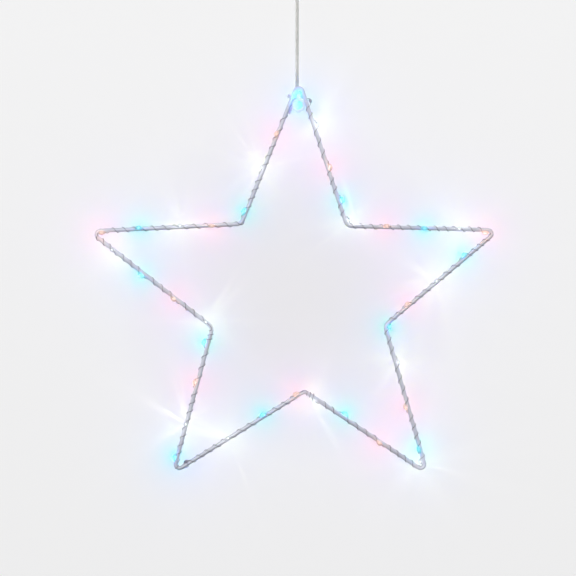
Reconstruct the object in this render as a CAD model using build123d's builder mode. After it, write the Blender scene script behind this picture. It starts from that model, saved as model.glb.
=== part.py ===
from build123d import *
import math
import os

os.makedirs("parts", exist_ok=True)

# Millimetres. The origin is the centre of the battery box's hanging eye. +Z is up, the star is seen
# along +Y, and the lead hangs straight down the Z axis.

# Star frame
star_width = 300.0
star_height = 289.0
frame_wire_diameter = 3.0
tip_bend_radius = 3.0
notch_bend_radius = 5.0
lower_notch_bend_radius = 3.0

# Hanging ring under the top point
ring_outer_diameter = 9.8
ring_bore_diameter = 7.0
ring_thickness = 1.4
ring_edge_rounding = 0.35
ring_seat_gap = 0.05

# LED string
led_wire_diameter = 0.6
led_wire_gap = 0.08
winding_pitch = 9.4
drop_length = 5.4
drop_diameter = 3.8
drop_gap = 0.25
chip_length = 1.6
chip_width = 0.9
chip_height = 0.6

# Lead from the box to the star
lead_diameter = 2.6
lead_length = 80.0
tail_rise = 10.0
tail_lead_in = 3.0
tail_straight_run = 3.7
tail_gap = 0.4
tail_inset = 1.5
splice_length = 6.0
splice_wall = 0.35
splice_reach = 22.7
tie_width = 1.8
tie_band = 0.6
tie_gap = 0.05
tie_ring_gap = 0.6
tie_head_length = 2.4
tie_head_depth = 2.2

# Cells and contacts
cell_diameter = 14.2
cell_can_length = 49.2
cell_nub_diameter = 5.4
cell_nub_height = 1.2
cell_edge_rounding = 0.6
cell_gap = 0.8
cell_clearance = 0.5
contact_sheet = 0.5
contact_side = 11.0
spring_height = 4.2
spring_wire_diameter = 0.7
spring_wide_radius = 4.0
spring_narrow_radius = 2.2
spring_turns = 3
seat_gap = 0.05

# Battery box
box_wall = 1.8
box_corner_radius = 4.0
electronics_height = 12.0
divider_thickness = 1.6
cover_thickness = 2.6
cover_lip = 1.1
cover_tongue = 1.0
cover_clearance = 0.25
grip_width = 16.0
grip_height = 1.2
grip_depth = 0.5
grip_pitch = 2.6
grip_count = 5
rib_thickness = 1.2
rib_height = 4.0
panel_hole_clearance = 0.3
eye_radius = 2.6
eye_rim = 3.4
eye_thickness = 4.0
eye_drop = 7.0
eye_base_width = 18.0
eye_root = 0.9
back_edge_rounding = 1.2

# Front panel screws
screw_spread = 40.0
screw_diameter = 2.0
screw_length = 7.0
screw_head_diameter = 3.8
screw_head_height = 1.0
screw_slot = 0.6
boss_diameter = 5.0

# Switch and circuit board
board_width = 11.5
board_height = 10.0
board_thickness = 1.0
board_offset = 11.6
board_post_side = 1.6
switch_width = 10.0
switch_height = 4.0
switch_depth = 3.4
switch_gap = 0.2
slider_width = 1.6
slider_height = 1.8
slider_proud = 1.2
slider_rounding = 0.3
switch_rise = 1.4
slider_plate_width = 3.4
slider_plate_thickness = 0.6
switch_travel = 2.0
driver_chip_length = 5.0
driver_chip_width = 4.0
driver_chip_height = 1.4
resistor_length = 2.0
resistor_width = 1.25
resistor_height = 0.6
hookup_wire_diameter = 1.2
hookup_gap = 0.2
hookup_bend_radius = 1.5

# Cord gland and ball stop
ball_radius = 4.2
ball_clearance = 0.08
ball_collar_height = 0.6
core_wire_diameter = 0.9
ball_rise = 1.0
gland_length = 9.0
gland_top_radius = 6.2
gland_flange_radius = 7.6
gland_flange_thickness = 1.4
gland_lip_radius = 6.6
gland_lip_rounding = 0.4
gland_seat_clearance = 0.1
lead_end_gap = 0.3
swing_limit_degrees = 15.0
cut_overrun = 1.0
straight_tolerance = 0.000001

# Angles on the star's wire: 0 is the front of the frame, 90 its outer side, -90 its inner side.
splice_side_degrees = -149.0

# Counts
samples_per_piece = 6
first_winding_led_count = 5
winding_led_count = 4
winding_hand = -1

# Shares of the pieces they belong to
bend_run_share = 0.45
grip_place_share = 0.2
screw_slot_share = 0.7
weld_place_share = 0.5
parallel_share = 0.000000001

# The star's ten corners, clockwise from the top point, as shares of its width across and of its height up.
corner_shares = [
    (0.005, 0.014),
    (0.125, -0.364),
    (0.504, -0.375),
    (0.220, -0.623),
    (0.326, -1.008),
    (0.019, -0.794),
    (-0.311, -1.006),
    (-0.212, -0.628),
    (-0.520, -0.378),
    (-0.140, -0.359),
]

# The LEDs of each leg, clockwise from the top point: share of the leg's length, side angle and colour.
led_shares = [
    [(0.050, -50, "cyan"), (0.113, 105, "violet"), (0.284, 46, "white"), (0.585, 32, "orange"),
     (0.825, 48, "cyan"), (0.972, 75, "white")],
    [(0.269, 13, "orange"), (0.529, -5, "cyan"), (0.768, 0, "white"), (0.950, -40, "orange")],
    [(0.261, -46, "cyan"), (0.525, -12, "white"), (0.788, -31, "orange")],
    [(0.003, 42, "cyan"), (0.260, 34, "white"), (0.568, -38, "orange"), (0.865, -20, "cyan"),
     (0.950, -45, "white")],
    [(0.361, 20, "orange"), (0.675, -57, "cyan"), (0.908, 39, "white")],
    [(0.060, -33, "orange"), (0.321, -31, "cyan"), (0.600, -7, "white"), (0.921, -42, "violet")],
    [(0.070, 35, "cyan"), (0.311, 3, "white"), (0.607, 40, "orange"), (0.891, 78, "cyan")],
    [(0.053, -3, "white"), (0.318, 20, "orange"), (0.588, 38, "cyan"), (0.842, 8, "white")],
    [(0.045, -30, "orange"), (0.301, 11, "cyan"), (0.583, 12, "white"), (0.802, -7, "orange")],
    [(0.085, 30, "cyan"), (0.401, 24, "white"), (0.648, 12, "orange")],
]


# Sizes worked out from the ones above
frame_radius = frame_wire_diameter / 2
lead_radius = lead_diameter / 2
led_wire_radius = led_wire_diameter / 2
winding_radius = frame_radius + led_wire_gap + led_wire_radius
drop_reach = frame_radius + drop_gap + drop_diameter / 2
tail_reach = frame_radius + tail_gap + lead_radius
tail_back = math.sqrt(tail_reach**2 - tail_inset**2)

cell_radius = cell_diameter / 2
cell_pitch = cell_diameter + cell_gap
cell_length = cell_can_length + cell_nub_height
bay_width = 2 * cell_pitch + cell_diameter + 2 * cell_clearance
bay_height = cell_length + spring_height + 2 * contact_sheet
box_width = bay_width + 2 * box_wall
box_depth = cover_thickness + cell_clearance + cell_diameter + cell_clearance + box_wall
box_front = -box_depth / 2
box_back = box_depth / 2
bay_back = box_back - box_wall
cell_y = bay_back - cell_clearance - cell_radius
box_top = -eye_drop
bay_top = box_top - box_wall
bay_bottom = bay_top - bay_height
electronics_top = bay_bottom - divider_thickness
electronics_bottom = electronics_top - electronics_height
box_bottom = electronics_bottom - box_wall
box_height = box_top - box_bottom
panel_back = box_front + cover_thickness
panel_top = electronics_top + divider_thickness / 2
electronics_middle = (electronics_top + electronics_bottom) / 2

pivot_z = electronics_bottom + ball_rise
gland_bottom = pivot_z - gland_length
star_top = gland_bottom - lead_length
lead_top = pivot_z - ball_radius - lead_end_gap
lead_bottom = star_top + tail_rise

bend_radii = [tip_bend_radius, notch_bend_radius] * 5
bend_radii[5] = lower_notch_bend_radius
corners = [
    (across_share * star_width, star_top + up_share * star_height)
    for across_share, up_share in corner_shares
]
front = Vector(0, -1, 0)


# The frame's centre line
def star_stretches():
    """Bends and legs of the centre line, from the top bend: start, end, point, heading, curvature."""
    count = len(corners)
    headings = []
    for here, after in zip(corners, corners[1:] + corners[:1]):
        headings.append(math.atan2(after[1] - here[1], after[0] - here[0]))
    turns = []
    for before, here in zip(headings[-1:] + headings[:-1], headings):
        turns.append((here - before + math.pi) % (2 * math.pi) - math.pi)
    cut_backs = [radius * math.tan(abs(turn) / 2) for radius, turn in zip(bend_radii, turns)]
    stretches = []
    start = -bend_radii[0] * abs(turns[0]) / 2
    for i in range(count):
        x, z = corners[i]
        bend_length = bend_radii[i] * abs(turns[i])
        cut_back, next_cut_back = cut_backs[i], cut_backs[(i + 1) % count]
        bend_start = (x - cut_back * math.cos(headings[i - 1]), z - cut_back * math.sin(headings[i - 1]))
        stretches.append((start, start + bend_length, bend_start, headings[i - 1], turns[i] / bend_length))
        start += bend_length
        leg_length = math.dist(corners[i], corners[(i + 1) % count]) - cut_back - next_cut_back
        leg_start = (x + cut_back * math.cos(headings[i]), z + cut_back * math.sin(headings[i]))
        stretches.append((start, start + leg_length, leg_start, headings[i], 0))
        start += leg_length
    return stretches


stretches = star_stretches()
path_start = stretches[0][0]
path_length = stretches[-1][1] - path_start
bend_middles = [(start + end) / 2 for start, end, point, heading, bend in stretches[::2]]
bend_middles.append(bend_middles[0] + path_length)


def star_place(distance):
    """Centre point, heading and curvature at a distance along the frame from the middle of the top bend."""
    distance = (distance - path_start) % path_length + path_start
    for start, end, (x, z), heading, bend in stretches:
        if distance <= end:
            run = distance - start
            if bend == 0:
                return (x + run * math.cos(heading), z + run * math.sin(heading)), heading, bend
            turned = heading + bend * run
            arc_x = x + (math.sin(turned) - math.sin(heading)) / bend
            arc_z = z - (math.cos(turned) - math.cos(heading)) / bend
            return (arc_x, arc_z), turned, bend


def frame_axes(distance):
    """Centre, direction along the frame and outward direction at a distance along it."""
    (x, z), heading, bend = star_place(distance)
    along = Vector(math.cos(heading), 0, math.sin(heading))
    outward = Vector(-math.sin(heading), 0, math.cos(heading))
    return Vector(x, 0, z), along, outward


def beside_frame(distance, reach, side):
    """A point at a reach from the frame's centre line, on the side given as an angle in radians."""
    centre, along, outward = frame_axes(distance)
    return centre + outward * (reach * math.sin(side)) + front * (reach * math.cos(side))


def leg_distance(leg, share):
    """Distance along the frame of a share of one leg, measured between the middles of its two bends."""
    return bend_middles[leg] + share * (bend_middles[leg + 1] - bend_middles[leg])


# Wound wire: arcs in pairs through points a quarter turn apart
def biarc(start, start_tangent, end, end_tangent):
    """The point and tangent where two equal-reach arcs join, between two points with given tangents."""
    chord = end - start
    tangents = start_tangent + end_tangent
    spread = 2 * (1 - start_tangent.dot(end_tangent))
    along = chord.dot(tangents)
    if spread < parallel_share:
        reach = chord.dot(chord) / (2 * along)
    else:
        reach = (math.sqrt(along**2 + spread * chord.dot(chord)) - along) / spread
    first = start + start_tangent * reach
    last = end - end_tangent * reach
    return (first + last) * 0.5, (last - first).normalized()


def draw_wound_path(places):
    """Draws straight ends and a pair of arcs between each two places, and returns points along them all."""
    samples = []
    for (start, start_tangent), (end, end_tangent) in zip(places, places[1:]):
        if (start + start_tangent * (end - start).length - end).length < straight_tolerance:
            pieces = [Line(start, end)]
        else:
            middle, middle_tangent = biarc(start, start_tangent, end, end_tangent)
            pieces = [
                TangentArc(start, middle, tangent=start_tangent),
                TangentArc(middle, end, tangent=middle_tangent),
            ]
        for piece in pieces:
            samples += [piece @ (step / samples_per_piece) for step in range(samples_per_piece)]
    return samples


def with_straight_ends(places, wire_diameter):
    """The same places with a straight run of one wire diameter at each end."""
    start, start_tangent = places[0]
    end, end_tangent = places[-1]
    run_in = (start + start_tangent * wire_diameter, start_tangent)
    run_out = (end - end_tangent * wire_diameter, end_tangent)
    return [places[0], run_in] + places[1:-1] + [run_out, places[-1]]


def least_gap(samples, wire_diameter, skip):
    """The least clear space between stretches of one wire that lie more than a length apart along it."""
    run = [0.0]
    for here, after in zip(samples, samples[1:]):
        run.append(run[-1] + (after - here).length)
    gap = math.inf
    for i, here in enumerate(samples):
        for j in range(i + 1, len(samples)):
            if run[j] - run[i] > skip:
                gap = min(gap, (samples[j] - here).length)
    return gap - wire_diameter


def finish(part, name):
    """Labels one finished piece and writes it."""
    part.label = name
    export_step(part, f"parts/{name}.step")


# Star frame: the closed outline in two swept halves, welded
half_count = len(corners) // 2
welds = [frame_axes(leg_distance(leg, weld_place_share))[0] for leg in [0, half_count]]
with BuildPart() as star_frame:
    for first_corner, start, end in [(1, *welds), (1 + half_count, *welds[::-1])]:
        numbers = [(first_corner + number) % len(corners) for number in range(half_count)]
        with BuildLine() as outline:
            points = [Vector(corners[number][0], 0, corners[number][1]) for number in numbers]
            FilletPolyline(start, *points, end, radius=[bend_radii[number] for number in numbers])
        with BuildSketch(Plane(outline.line @ 0, z_dir=outline.line % 0)):
            Circle(frame_radius)
        sweep(path=outline.line)
finish(star_frame.part, "star_frame")

# Hanging ring, seated against both legs under the top point
top_corner = Vector(corners[0][0], 0, corners[0][1])
right_leg = (Vector(corners[1][0], 0, corners[1][1]) - top_corner).normalized()
left_leg = (Vector(corners[-1][0], 0, corners[-1][1]) - top_corner).normalized()
half_tip_angle = math.acos(right_leg.dot(left_leg)) / 2
ring_radius = ring_outer_diameter / 2
ring_reach = (ring_radius + frame_radius + ring_seat_gap) / math.sin(half_tip_angle)
ring_centre = top_corner + (right_leg + left_leg).normalized() * ring_reach
ring_plane = Plane(ring_centre, x_dir=(1, 0, 0), z_dir=(0, -1, 0))
with BuildPart() as hanging_ring:
    with BuildSketch(ring_plane):
        Circle(ring_radius)
        Circle(ring_bore_diameter / 2, mode=Mode.SUBTRACT)
    extrude(amount=ring_thickness / 2, both=True)
    fillet(hanging_ring.edges().filter_by(GeomType.CIRCLE).group_by(SortBy.LENGTH)[-1], ring_edge_rounding)
finish(hanging_ring.part, "hanging_ring")

# LED places along the frame
leds = []
for leg, row in enumerate(led_shares):
    for along_share, side_degrees, colour in row:
        leds.append((leg_distance(leg, along_share), math.radians(side_degrees), colour))

top_cut_back = tip_bend_radius / math.tan(half_tip_angle)
top_half_bend = tip_bend_radius * (math.pi / 2 - half_tip_angle)
splice_middle = bend_middles[-1] - (splice_reach - top_cut_back + top_half_bend)
splice_lower = splice_middle - splice_length / 2

# The angle turned by the winding, rising by whole turns near the pitch from each LED to the next
knots = [(leds[0][0], winding_hand * leds[0][1])]
splice_end = (splice_lower - led_wire_radius, math.radians(splice_side_degrees))
for distance, side in [led[:2] for led in leds[1:]] + [splice_end]:
    last_distance, last_turned = knots[-1]
    part_turn = (winding_hand * side - last_turned) % (2 * math.pi)
    whole_turns = round((distance - last_distance) / winding_pitch - part_turn / (2 * math.pi))
    knots.append((distance, last_turned + part_turn + max(whole_turns, 0) * 2 * math.pi))


def winding_place(turned):
    """Point and tangent of the wound wire where it has turned by an angle, counted through all its turns."""
    for (start, start_turned), (end, end_turned) in zip(knots, knots[1:]):
        if turned <= end_turned:
            break
    pace = (end - start) / (end_turned - start_turned)
    distance = start + (turned - start_turned) * pace
    side = winding_hand * turned
    centre, along, outward = frame_axes(distance)
    bend = star_place(distance)[2]
    point = beside_frame(distance, winding_radius, side)
    turning = (outward * math.cos(side) - front * math.sin(side)) * (winding_hand * winding_radius)
    tangent = along * ((1 - bend * winding_radius * math.sin(side)) * pace) + turning
    return point, tangent.normalized()


def wound_places(first_turned, last_turned):
    """Places a quarter turn apart between two angles turned."""
    steps = max(round((last_turned - first_turned) / (math.pi / 2)), 1)
    places = [
        winding_place(first_turned + (last_turned - first_turned) * step / steps)
        for step in range(steps + 1)
    ]
    return with_straight_ends(places, led_wire_diameter)


# LED wire, in windings from LED to LED
cut_leds = [0] + list(range(first_winding_led_count, len(leds), winding_led_count)) + [len(leds)]
cuts = [knots[led][1] for led in cut_leds]
for number, (first_turned, last_turned) in enumerate(zip(cuts, cuts[1:]), start=1):
    with BuildPart() as led_wire:
        with BuildLine() as turns:
            samples = draw_wound_path(wound_places(first_turned, last_turned))
        with BuildSketch(Plane(turns.line @ 0, z_dir=turns.line % 0)):
            Circle(led_wire_radius)
        sweep(path=turns.line)
    finish(led_wire.part, f"led_wire_{number}")
    turn_count = (last_turned - first_turned) / (2 * math.pi)
    gap = least_gap(samples, led_wire_diameter, math.pi * winding_radius)
    print(f"led_wire_{number}: {turn_count:.1f} turns, least gap to itself {gap:.2f} mm")


# LED drops and chips, one group of solids for each colour
def led_plane(distance, side):
    """Plane at a drop's centre, with x along the frame and z away from it."""
    centre, along, outward = frame_axes(distance)
    away = outward * math.sin(side) + front * math.cos(side)
    return Plane(centre + away * drop_reach, x_dir=along, z_dir=away)


for colour in ["cyan", "white", "orange", "violet"]:
    planes = [led_plane(distance, side) for distance, side, led_colour in leds if led_colour == colour]
    with BuildPart() as resin_drops:
        for plane in planes:
            with BuildSketch(plane):
                SlotOverall(drop_length, drop_diameter)
                Rectangle(drop_length, drop_diameter, align=(Align.CENTER, Align.MAX), mode=Mode.SUBTRACT)
            revolve(axis=Axis(plane.origin, plane.x_dir))
    finish(resin_drops.part, f"resin_drops_{colour}")
    with BuildPart() as led_chips:
        for plane in planes:
            with BuildSketch(plane.offset(-chip_height / 2)):
                Rectangle(chip_length, chip_width)
            extrude(amount=chip_height)
    finish(led_chips.part, f"led_chips_{colour}")


# Lead: the straight run, its tail behind the top point, and what holds it there
with BuildPart() as lead_cord:
    with BuildSketch(Plane.XY.offset(lead_bottom)):
        Circle(lead_radius)
    extrude(amount=lead_top - lead_bottom)
finish(lead_cord.part, "lead_cord")

left_outward = Vector(left_leg.Z, 0, -left_leg.X)
tie_room = ring_radius + ring_seat_gap - tie_gap - tie_band
ring_bulge = math.sqrt(ring_radius**2 - tie_room**2)
tie_reach = ring_reach * math.cos(half_tip_angle) - ring_bulge - tie_ring_gap - tie_width / 2


def beside_left_leg(reach):
    """A point of the tail's route, behind and inside the left leg, at a reach down it from its corner."""
    return top_corner + left_leg * reach - left_outward * tail_inset - front * tail_back


tail_points = [
    Vector(0, 0, lead_bottom),
    Vector(0, 0, lead_bottom - tail_lead_in),
    Vector(0, tail_reach, star_top + frame_radius / 2),
    beside_left_leg(tie_reach - tie_width / 2 - tail_straight_run),
    beside_left_leg(splice_reach + splice_length / 2 - led_wire_diameter),
]


def widest_radii(points):
    """Arcs as large as the runs allow: a share of the shorter run over the tangent of half the turn."""
    radii = []
    for before, here, after in zip(points, points[1:], points[2:]):
        half_turn = math.radians((here - before).get_angle(after - here)) / 2
        shorter = min((here - before).length, (after - here).length)
        radii.append(bend_run_share * shorter / math.tan(half_turn))
    return radii


tail_radii = widest_radii(tail_points)
print("lead_tail radii:", ", ".join(f"{radius:.1f}" for radius in tail_radii))
with BuildPart() as lead_tail:
    with BuildLine() as tail_route:
        FilletPolyline(*tail_points, radius=tail_radii)
    with BuildSketch(Plane(tail_route.line @ 0, z_dir=tail_route.line % 0)):
        Circle(lead_radius)
    sweep(path=tail_route.line)
finish(lead_tail.part, "lead_tail")

splice_plane = Plane(beside_left_leg(splice_reach), x_dir=(0, 1, 0), z_dir=left_leg)
with BuildPart() as splice_sleeve:
    with BuildSketch(splice_plane.offset(-splice_length / 2)):
        Circle(lead_radius + splice_wall)
        Circle(lead_radius, mode=Mode.SUBTRACT)
    extrude(amount=splice_length)
finish(splice_sleeve.part, "splice_sleeve")

tie_plane = Plane(top_corner + left_leg * tie_reach, x_dir=left_outward, z_dir=left_leg)
tail_in_tie = tie_plane.to_local_coords(beside_left_leg(tie_reach))
tie_loops = []
for band in [tie_band + tie_gap, tie_gap]:
    with BuildSketch(tie_plane.offset(-tie_width / 2)) as loop:
        with BuildLine():
            CenterArc((0, 0), frame_radius + band, 0, 360)
            CenterArc((tail_in_tie.X, tail_in_tie.Y), lead_radius + band, 0, 360)
        make_hull()
    tie_loops.append(loop.sketch)
with BuildPart() as cable_tie:
    extrude(tie_loops[0], amount=tie_width)
    extrude(tie_loops[1], amount=tie_width, mode=Mode.SUBTRACT)
    head_start = frame_radius + tie_gap + tie_band / 2
    head_plane = Plane(tie_plane.from_local_coords((head_start, 0, 0)), x_dir=(0, 1, 0), z_dir=left_outward)
    with BuildSketch(head_plane):
        RectangleRounded(tie_head_length, tie_head_length, tie_band / 2)
    extrude(amount=tie_head_depth - tie_band / 2)
finish(cable_tie.part, "cable_tie")


# Battery box housing: an open-fronted tray with a cell bay, a divider and an electronics bay
front_view = Plane.XZ.offset(-box_back)
box_middle = (box_top + box_bottom) / 2
bay_middle = (bay_top + bay_bottom) / 2
groove_width = bay_width + 2 * cover_tongue
cover_travel_top = box_top + cut_overrun
panel_height = panel_top - box_bottom
hookup_radius = hookup_wire_diameter / 2
corner_wire_x = bay_width / 2 - hookup_radius - hookup_gap
corner_wire_y = bay_back - hookup_radius - hookup_gap
board_front = panel_back + switch_gap + switch_depth
board_back = board_front + board_thickness
screw_places = [(-screw_spread / 2, electronics_middle), (screw_spread / 2, electronics_middle)]
post_across = (board_width - board_post_side) / 2
post_up = (board_height - board_post_side) / 2
board_posts = [
    (board_offset - post_across, electronics_middle - post_up),
    (board_offset + post_across, electronics_middle - post_up),
    (board_offset, electronics_middle + post_up),
]

with BuildPart() as box_housing:
    with BuildSketch(front_view):
        with Locations((0, box_middle)):
            RectangleRounded(box_width, box_height, box_corner_radius)
    extrude(amount=box_depth)
    fillet(box_housing.edges().group_by(Axis.Y)[-1], back_edge_rounding)
    with BuildSketch(Plane.XZ.offset(-bay_back)):
        with Locations((0, bay_middle)):
            Rectangle(bay_width, bay_height)
        with Locations((0, electronics_middle)):
            Rectangle(bay_width, electronics_height)
    extrude(amount=box_depth, mode=Mode.SUBTRACT)
    with BuildSketch(Plane.XZ.offset(-panel_back)):
        with Locations((0, panel_top)):
            Rectangle(box_width + cut_overrun, panel_height + cut_overrun, align=(Align.CENTER, Align.MAX))
            Rectangle(bay_width, cover_travel_top - panel_top, align=(Align.CENTER, Align.MIN))
    extrude(amount=cover_thickness + cut_overrun, mode=Mode.SUBTRACT)
    with BuildSketch(Plane.XZ.offset(-panel_back)):
        with Locations((0, panel_top)):
            Rectangle(groove_width, cover_travel_top - panel_top, align=(Align.CENTER, Align.MIN))
    extrude(amount=cover_thickness - cover_lip, mode=Mode.SUBTRACT)
    with BuildSketch(Plane.XZ.offset(-bay_back)):
        with Locations((-cell_pitch / 2, bay_middle), (cell_pitch / 2, bay_middle)):
            Rectangle(rib_thickness, bay_height - 2 * (contact_sheet + spring_height))
    extrude(amount=rib_height)
    with BuildSketch(Plane.XZ.offset(-bay_back)):
        with Locations(*screw_places):
            Circle(boss_diameter / 2)
    extrude(amount=bay_back - panel_back)
    with BuildSketch(Plane.XZ.offset(-bay_back)):
        with Locations(*board_posts):
            Rectangle(board_post_side, board_post_side)
    extrude(amount=bay_back - board_back)
    with BuildSketch(Plane.XZ.offset(-panel_back)):
        with Locations(*screw_places):
            Circle(screw_diameter / 2 + seat_gap)
    extrude(amount=-screw_length, mode=Mode.SUBTRACT)
    with BuildSketch(Plane.XY.offset(electronics_top)):
        with Locations((-corner_wire_x, corner_wire_y), (corner_wire_x, corner_wire_y)):
            Circle(hookup_radius + hookup_gap)
    extrude(amount=divider_thickness, mode=Mode.SUBTRACT)
    with BuildSketch(Plane.XY.offset(electronics_bottom)):
        Circle(gland_top_radius + seat_gap)
    extrude(amount=-box_wall, mode=Mode.SUBTRACT)
    with BuildSketch(Plane.XZ.offset(-eye_thickness / 2)):
        with BuildLine():
            CenterArc((0, 0), eye_radius + eye_rim, 0, 360)
            Line((-eye_base_width / 2, box_top - eye_root), (eye_base_width / 2, box_top - eye_root))
        make_hull()
    extrude(amount=eye_thickness)
    with BuildSketch(Plane.XZ.offset(-eye_thickness / 2)):
        Circle(eye_radius)
    extrude(amount=eye_thickness, mode=Mode.SUBTRACT)
finish(box_housing.part, "box_housing")

# Battery cover: slides up in the housing's grooves, its foot on the front panel
cover_foot = panel_top + seat_gap
cover_height = box_top - cover_foot
cover_width = bay_width - 2 * cover_clearance
tongue_depth = cover_thickness - cover_lip - 2 * cover_clearance
grip_middle = cover_foot + cover_height * grip_place_share
with BuildPart() as battery_cover:
    with BuildSketch(Plane.XZ.offset(-box_front)):
        with Locations((0, cover_foot)):
            Rectangle(cover_width, cover_height, align=(Align.CENTER, Align.MIN))
    extrude(amount=-(cover_thickness - cover_clearance))
    top_corners = battery_cover.edges().filter_by(Axis.Y).group_by(Axis.Z)[-1]
    fillet(top_corners, box_corner_radius - box_wall)
    with BuildSketch(Plane.XZ.offset(-box_front - cover_lip - cover_clearance)):
        with Locations((0, cover_foot)):
            Rectangle(
                groove_width - 2 * cover_clearance,
                cover_height - box_corner_radius,
                align=(Align.CENTER, Align.MIN),
            )
    extrude(amount=-tongue_depth)
    with BuildSketch(Plane.XZ.offset(-box_front)):
        with Locations((0, grip_middle)):
            with GridLocations(0, grip_pitch, 1, grip_count):
                SlotOverall(grip_width, grip_height)
    extrude(amount=-grip_depth, mode=Mode.SUBTRACT)
finish(battery_cover.part, "battery_cover")

# Front panel over the electronics, with screw seats and the switch slot
switch_middle = electronics_middle + switch_rise
slot_width = slider_width + 2 * switch_travel + 2 * panel_hole_clearance
slot_height = slider_height + 2 * panel_hole_clearance
with BuildPart() as front_panel:
    with BuildSketch(Plane.XZ.offset(-panel_back)):
        with Locations((0, box_middle)):
            RectangleRounded(box_width, box_height, box_corner_radius)
        with Locations((0, panel_top)):
            Rectangle(box_width, box_height, align=(Align.CENTER, Align.MAX), mode=Mode.INTERSECT)
        with Locations(*screw_places):
            Circle(screw_diameter / 2 + seat_gap, mode=Mode.SUBTRACT)
        with Locations((board_offset, switch_middle)):
            Rectangle(slot_width, slot_height, mode=Mode.SUBTRACT)
    extrude(amount=cover_thickness)
    with BuildSketch(Plane.XZ.offset(-box_front)):
        with Locations(*screw_places):
            Circle(screw_head_diameter / 2 + seat_gap)
    extrude(amount=-screw_head_height, mode=Mode.SUBTRACT)
finish(front_panel.part, "front_panel")

with BuildPart() as panel_screws:
    with BuildSketch(Plane.XZ.offset(-box_front)):
        with Locations(*screw_places):
            Circle(screw_head_diameter / 2)
    extrude(amount=-screw_head_height)
    with BuildSketch(Plane.XZ.offset(-box_front - screw_head_height)):
        with Locations(*screw_places):
            Circle(screw_diameter / 2)
    extrude(amount=-(cover_thickness - screw_head_height + screw_length))
    with BuildSketch(Plane.XZ.offset(-box_front)):
        with Locations(*screw_places):
            Rectangle(screw_head_diameter * screw_slot_share, screw_slot)
            Rectangle(screw_slot, screw_head_diameter * screw_slot_share)
    extrude(amount=-screw_head_height / 2, mode=Mode.SUBTRACT)
finish(panel_screws.part, "panel_screws")

# Cells: the outer two stand with their nubs up, the middle one with its nub down
cell_low = bay_bottom + contact_sheet + spring_height
cell_high = bay_top - contact_sheet - spring_height
for name, x, foot, up in [
    ("aa_cell_left", -cell_pitch, cell_low, 1),
    ("aa_cell_middle", 0, cell_high, -1),
    ("aa_cell_right", cell_pitch, cell_low, 1),
]:
    cell_plane = Plane((x, cell_y, foot), x_dir=(1, 0, 0), z_dir=(0, 0, up))
    with BuildPart() as aa_cell:
        with BuildSketch(cell_plane):
            Circle(cell_radius)
        extrude(amount=cell_can_length)
        fillet(aa_cell.edges().filter_by(GeomType.CIRCLE), cell_edge_rounding)
        with BuildSketch(cell_plane.offset(cell_can_length)):
            Circle(cell_nub_diameter / 2)
        extrude(amount=cell_nub_height)
    finish(aa_cell.part, name)

# Contact plates at the two ends of the cell bay
for name, left, right, foot, tab_side in [
    ("contact_negative", -cell_pitch, -cell_pitch, bay_bottom, -1),
    ("contact_link_lower", 0, cell_pitch, bay_bottom, 0),
    ("contact_link_upper", -cell_pitch, 0, bay_top - contact_sheet, 0),
    ("contact_positive", cell_pitch, cell_pitch, bay_top - contact_sheet, 1),
]:
    with BuildPart() as contact:
        with BuildSketch(Plane.XY.offset(foot)):
            with Locations(((left + right) / 2, cell_y)):
                Rectangle(right - left + contact_side, contact_side)
            if tab_side:
                tab_reach = corner_wire_x + hookup_radius - cell_pitch
                with Locations((tab_side * cell_pitch, corner_wire_y)):
                    Rectangle(
                        tab_reach,
                        hookup_wire_diameter,
                        align=(Align.MIN if tab_side > 0 else Align.MAX, Align.CENTER),
                    )
                with Locations((tab_side * cell_pitch, cell_y)):
                    Rectangle(
                        contact_side / 2,
                        corner_wire_y + hookup_radius - cell_y,
                        align=(Align.MIN if tab_side > 0 else Align.MAX, Align.MIN),
                    )
        extrude(amount=contact_sheet)
    finish(contact.part, name)


def spring_places(x, plate, up):
    """Places a quarter turn apart on a spring that narrows from its plate to the cell."""
    wire_radius = spring_wire_diameter / 2 + seat_gap
    rise = (spring_height - 2 * wire_radius) / (2 * math.pi * spring_turns)
    narrowing = (spring_wide_radius - spring_narrow_radius) / (2 * math.pi * spring_turns)
    places = []
    for step in range(4 * spring_turns + 1):
        turned = step * math.pi / 2
        radius = spring_wide_radius - narrowing * turned
        height = wire_radius + rise * turned
        outward = Vector(math.cos(turned), math.sin(turned), 0)
        around = Vector(-math.sin(turned), math.cos(turned), 0)
        point = Vector(x, cell_y, plate + up * height) + outward * radius
        tangent = around * radius - outward * narrowing + Vector(0, 0, up * rise)
        places.append((point, tangent.normalized()))
    return with_straight_ends(places, spring_wire_diameter)


with BuildPart() as contact_springs:
    for x, plate, up in [
        (-cell_pitch, bay_bottom + contact_sheet, 1),
        (0, bay_top - contact_sheet, -1),
        (cell_pitch, bay_bottom + contact_sheet, 1),
    ]:
        with BuildLine() as turns:
            samples = draw_wound_path(spring_places(x, plate, up))
        with BuildSketch(Plane(turns.line @ 0, z_dir=turns.line % 0)):
            Circle(spring_wire_diameter / 2)
        sweep(path=turns.line)
spring_gap = least_gap(samples, spring_wire_diameter, math.pi * spring_narrow_radius)
print(f"contact_springs: {spring_turns} turns each, least gap to itself {spring_gap:.2f} mm")
finish(contact_springs.part, "contact_springs")

# Circuit board with its chip, resistors and switch
with BuildPart() as circuit_board:
    with BuildSketch(Plane.XZ.offset(-board_front)):
        with Locations((board_offset, electronics_middle)):
            Rectangle(board_width, board_height)
    extrude(amount=-board_thickness)
finish(circuit_board.part, "circuit_board")

with BuildPart() as driver_chip:
    with BuildSketch(Plane.XZ.offset(-board_back)):
        with Locations((board_offset, electronics_middle - driver_chip_width / 2)):
            Rectangle(driver_chip_length, driver_chip_width)
    extrude(amount=-driver_chip_height)
finish(driver_chip.part, "driver_chip")

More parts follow.
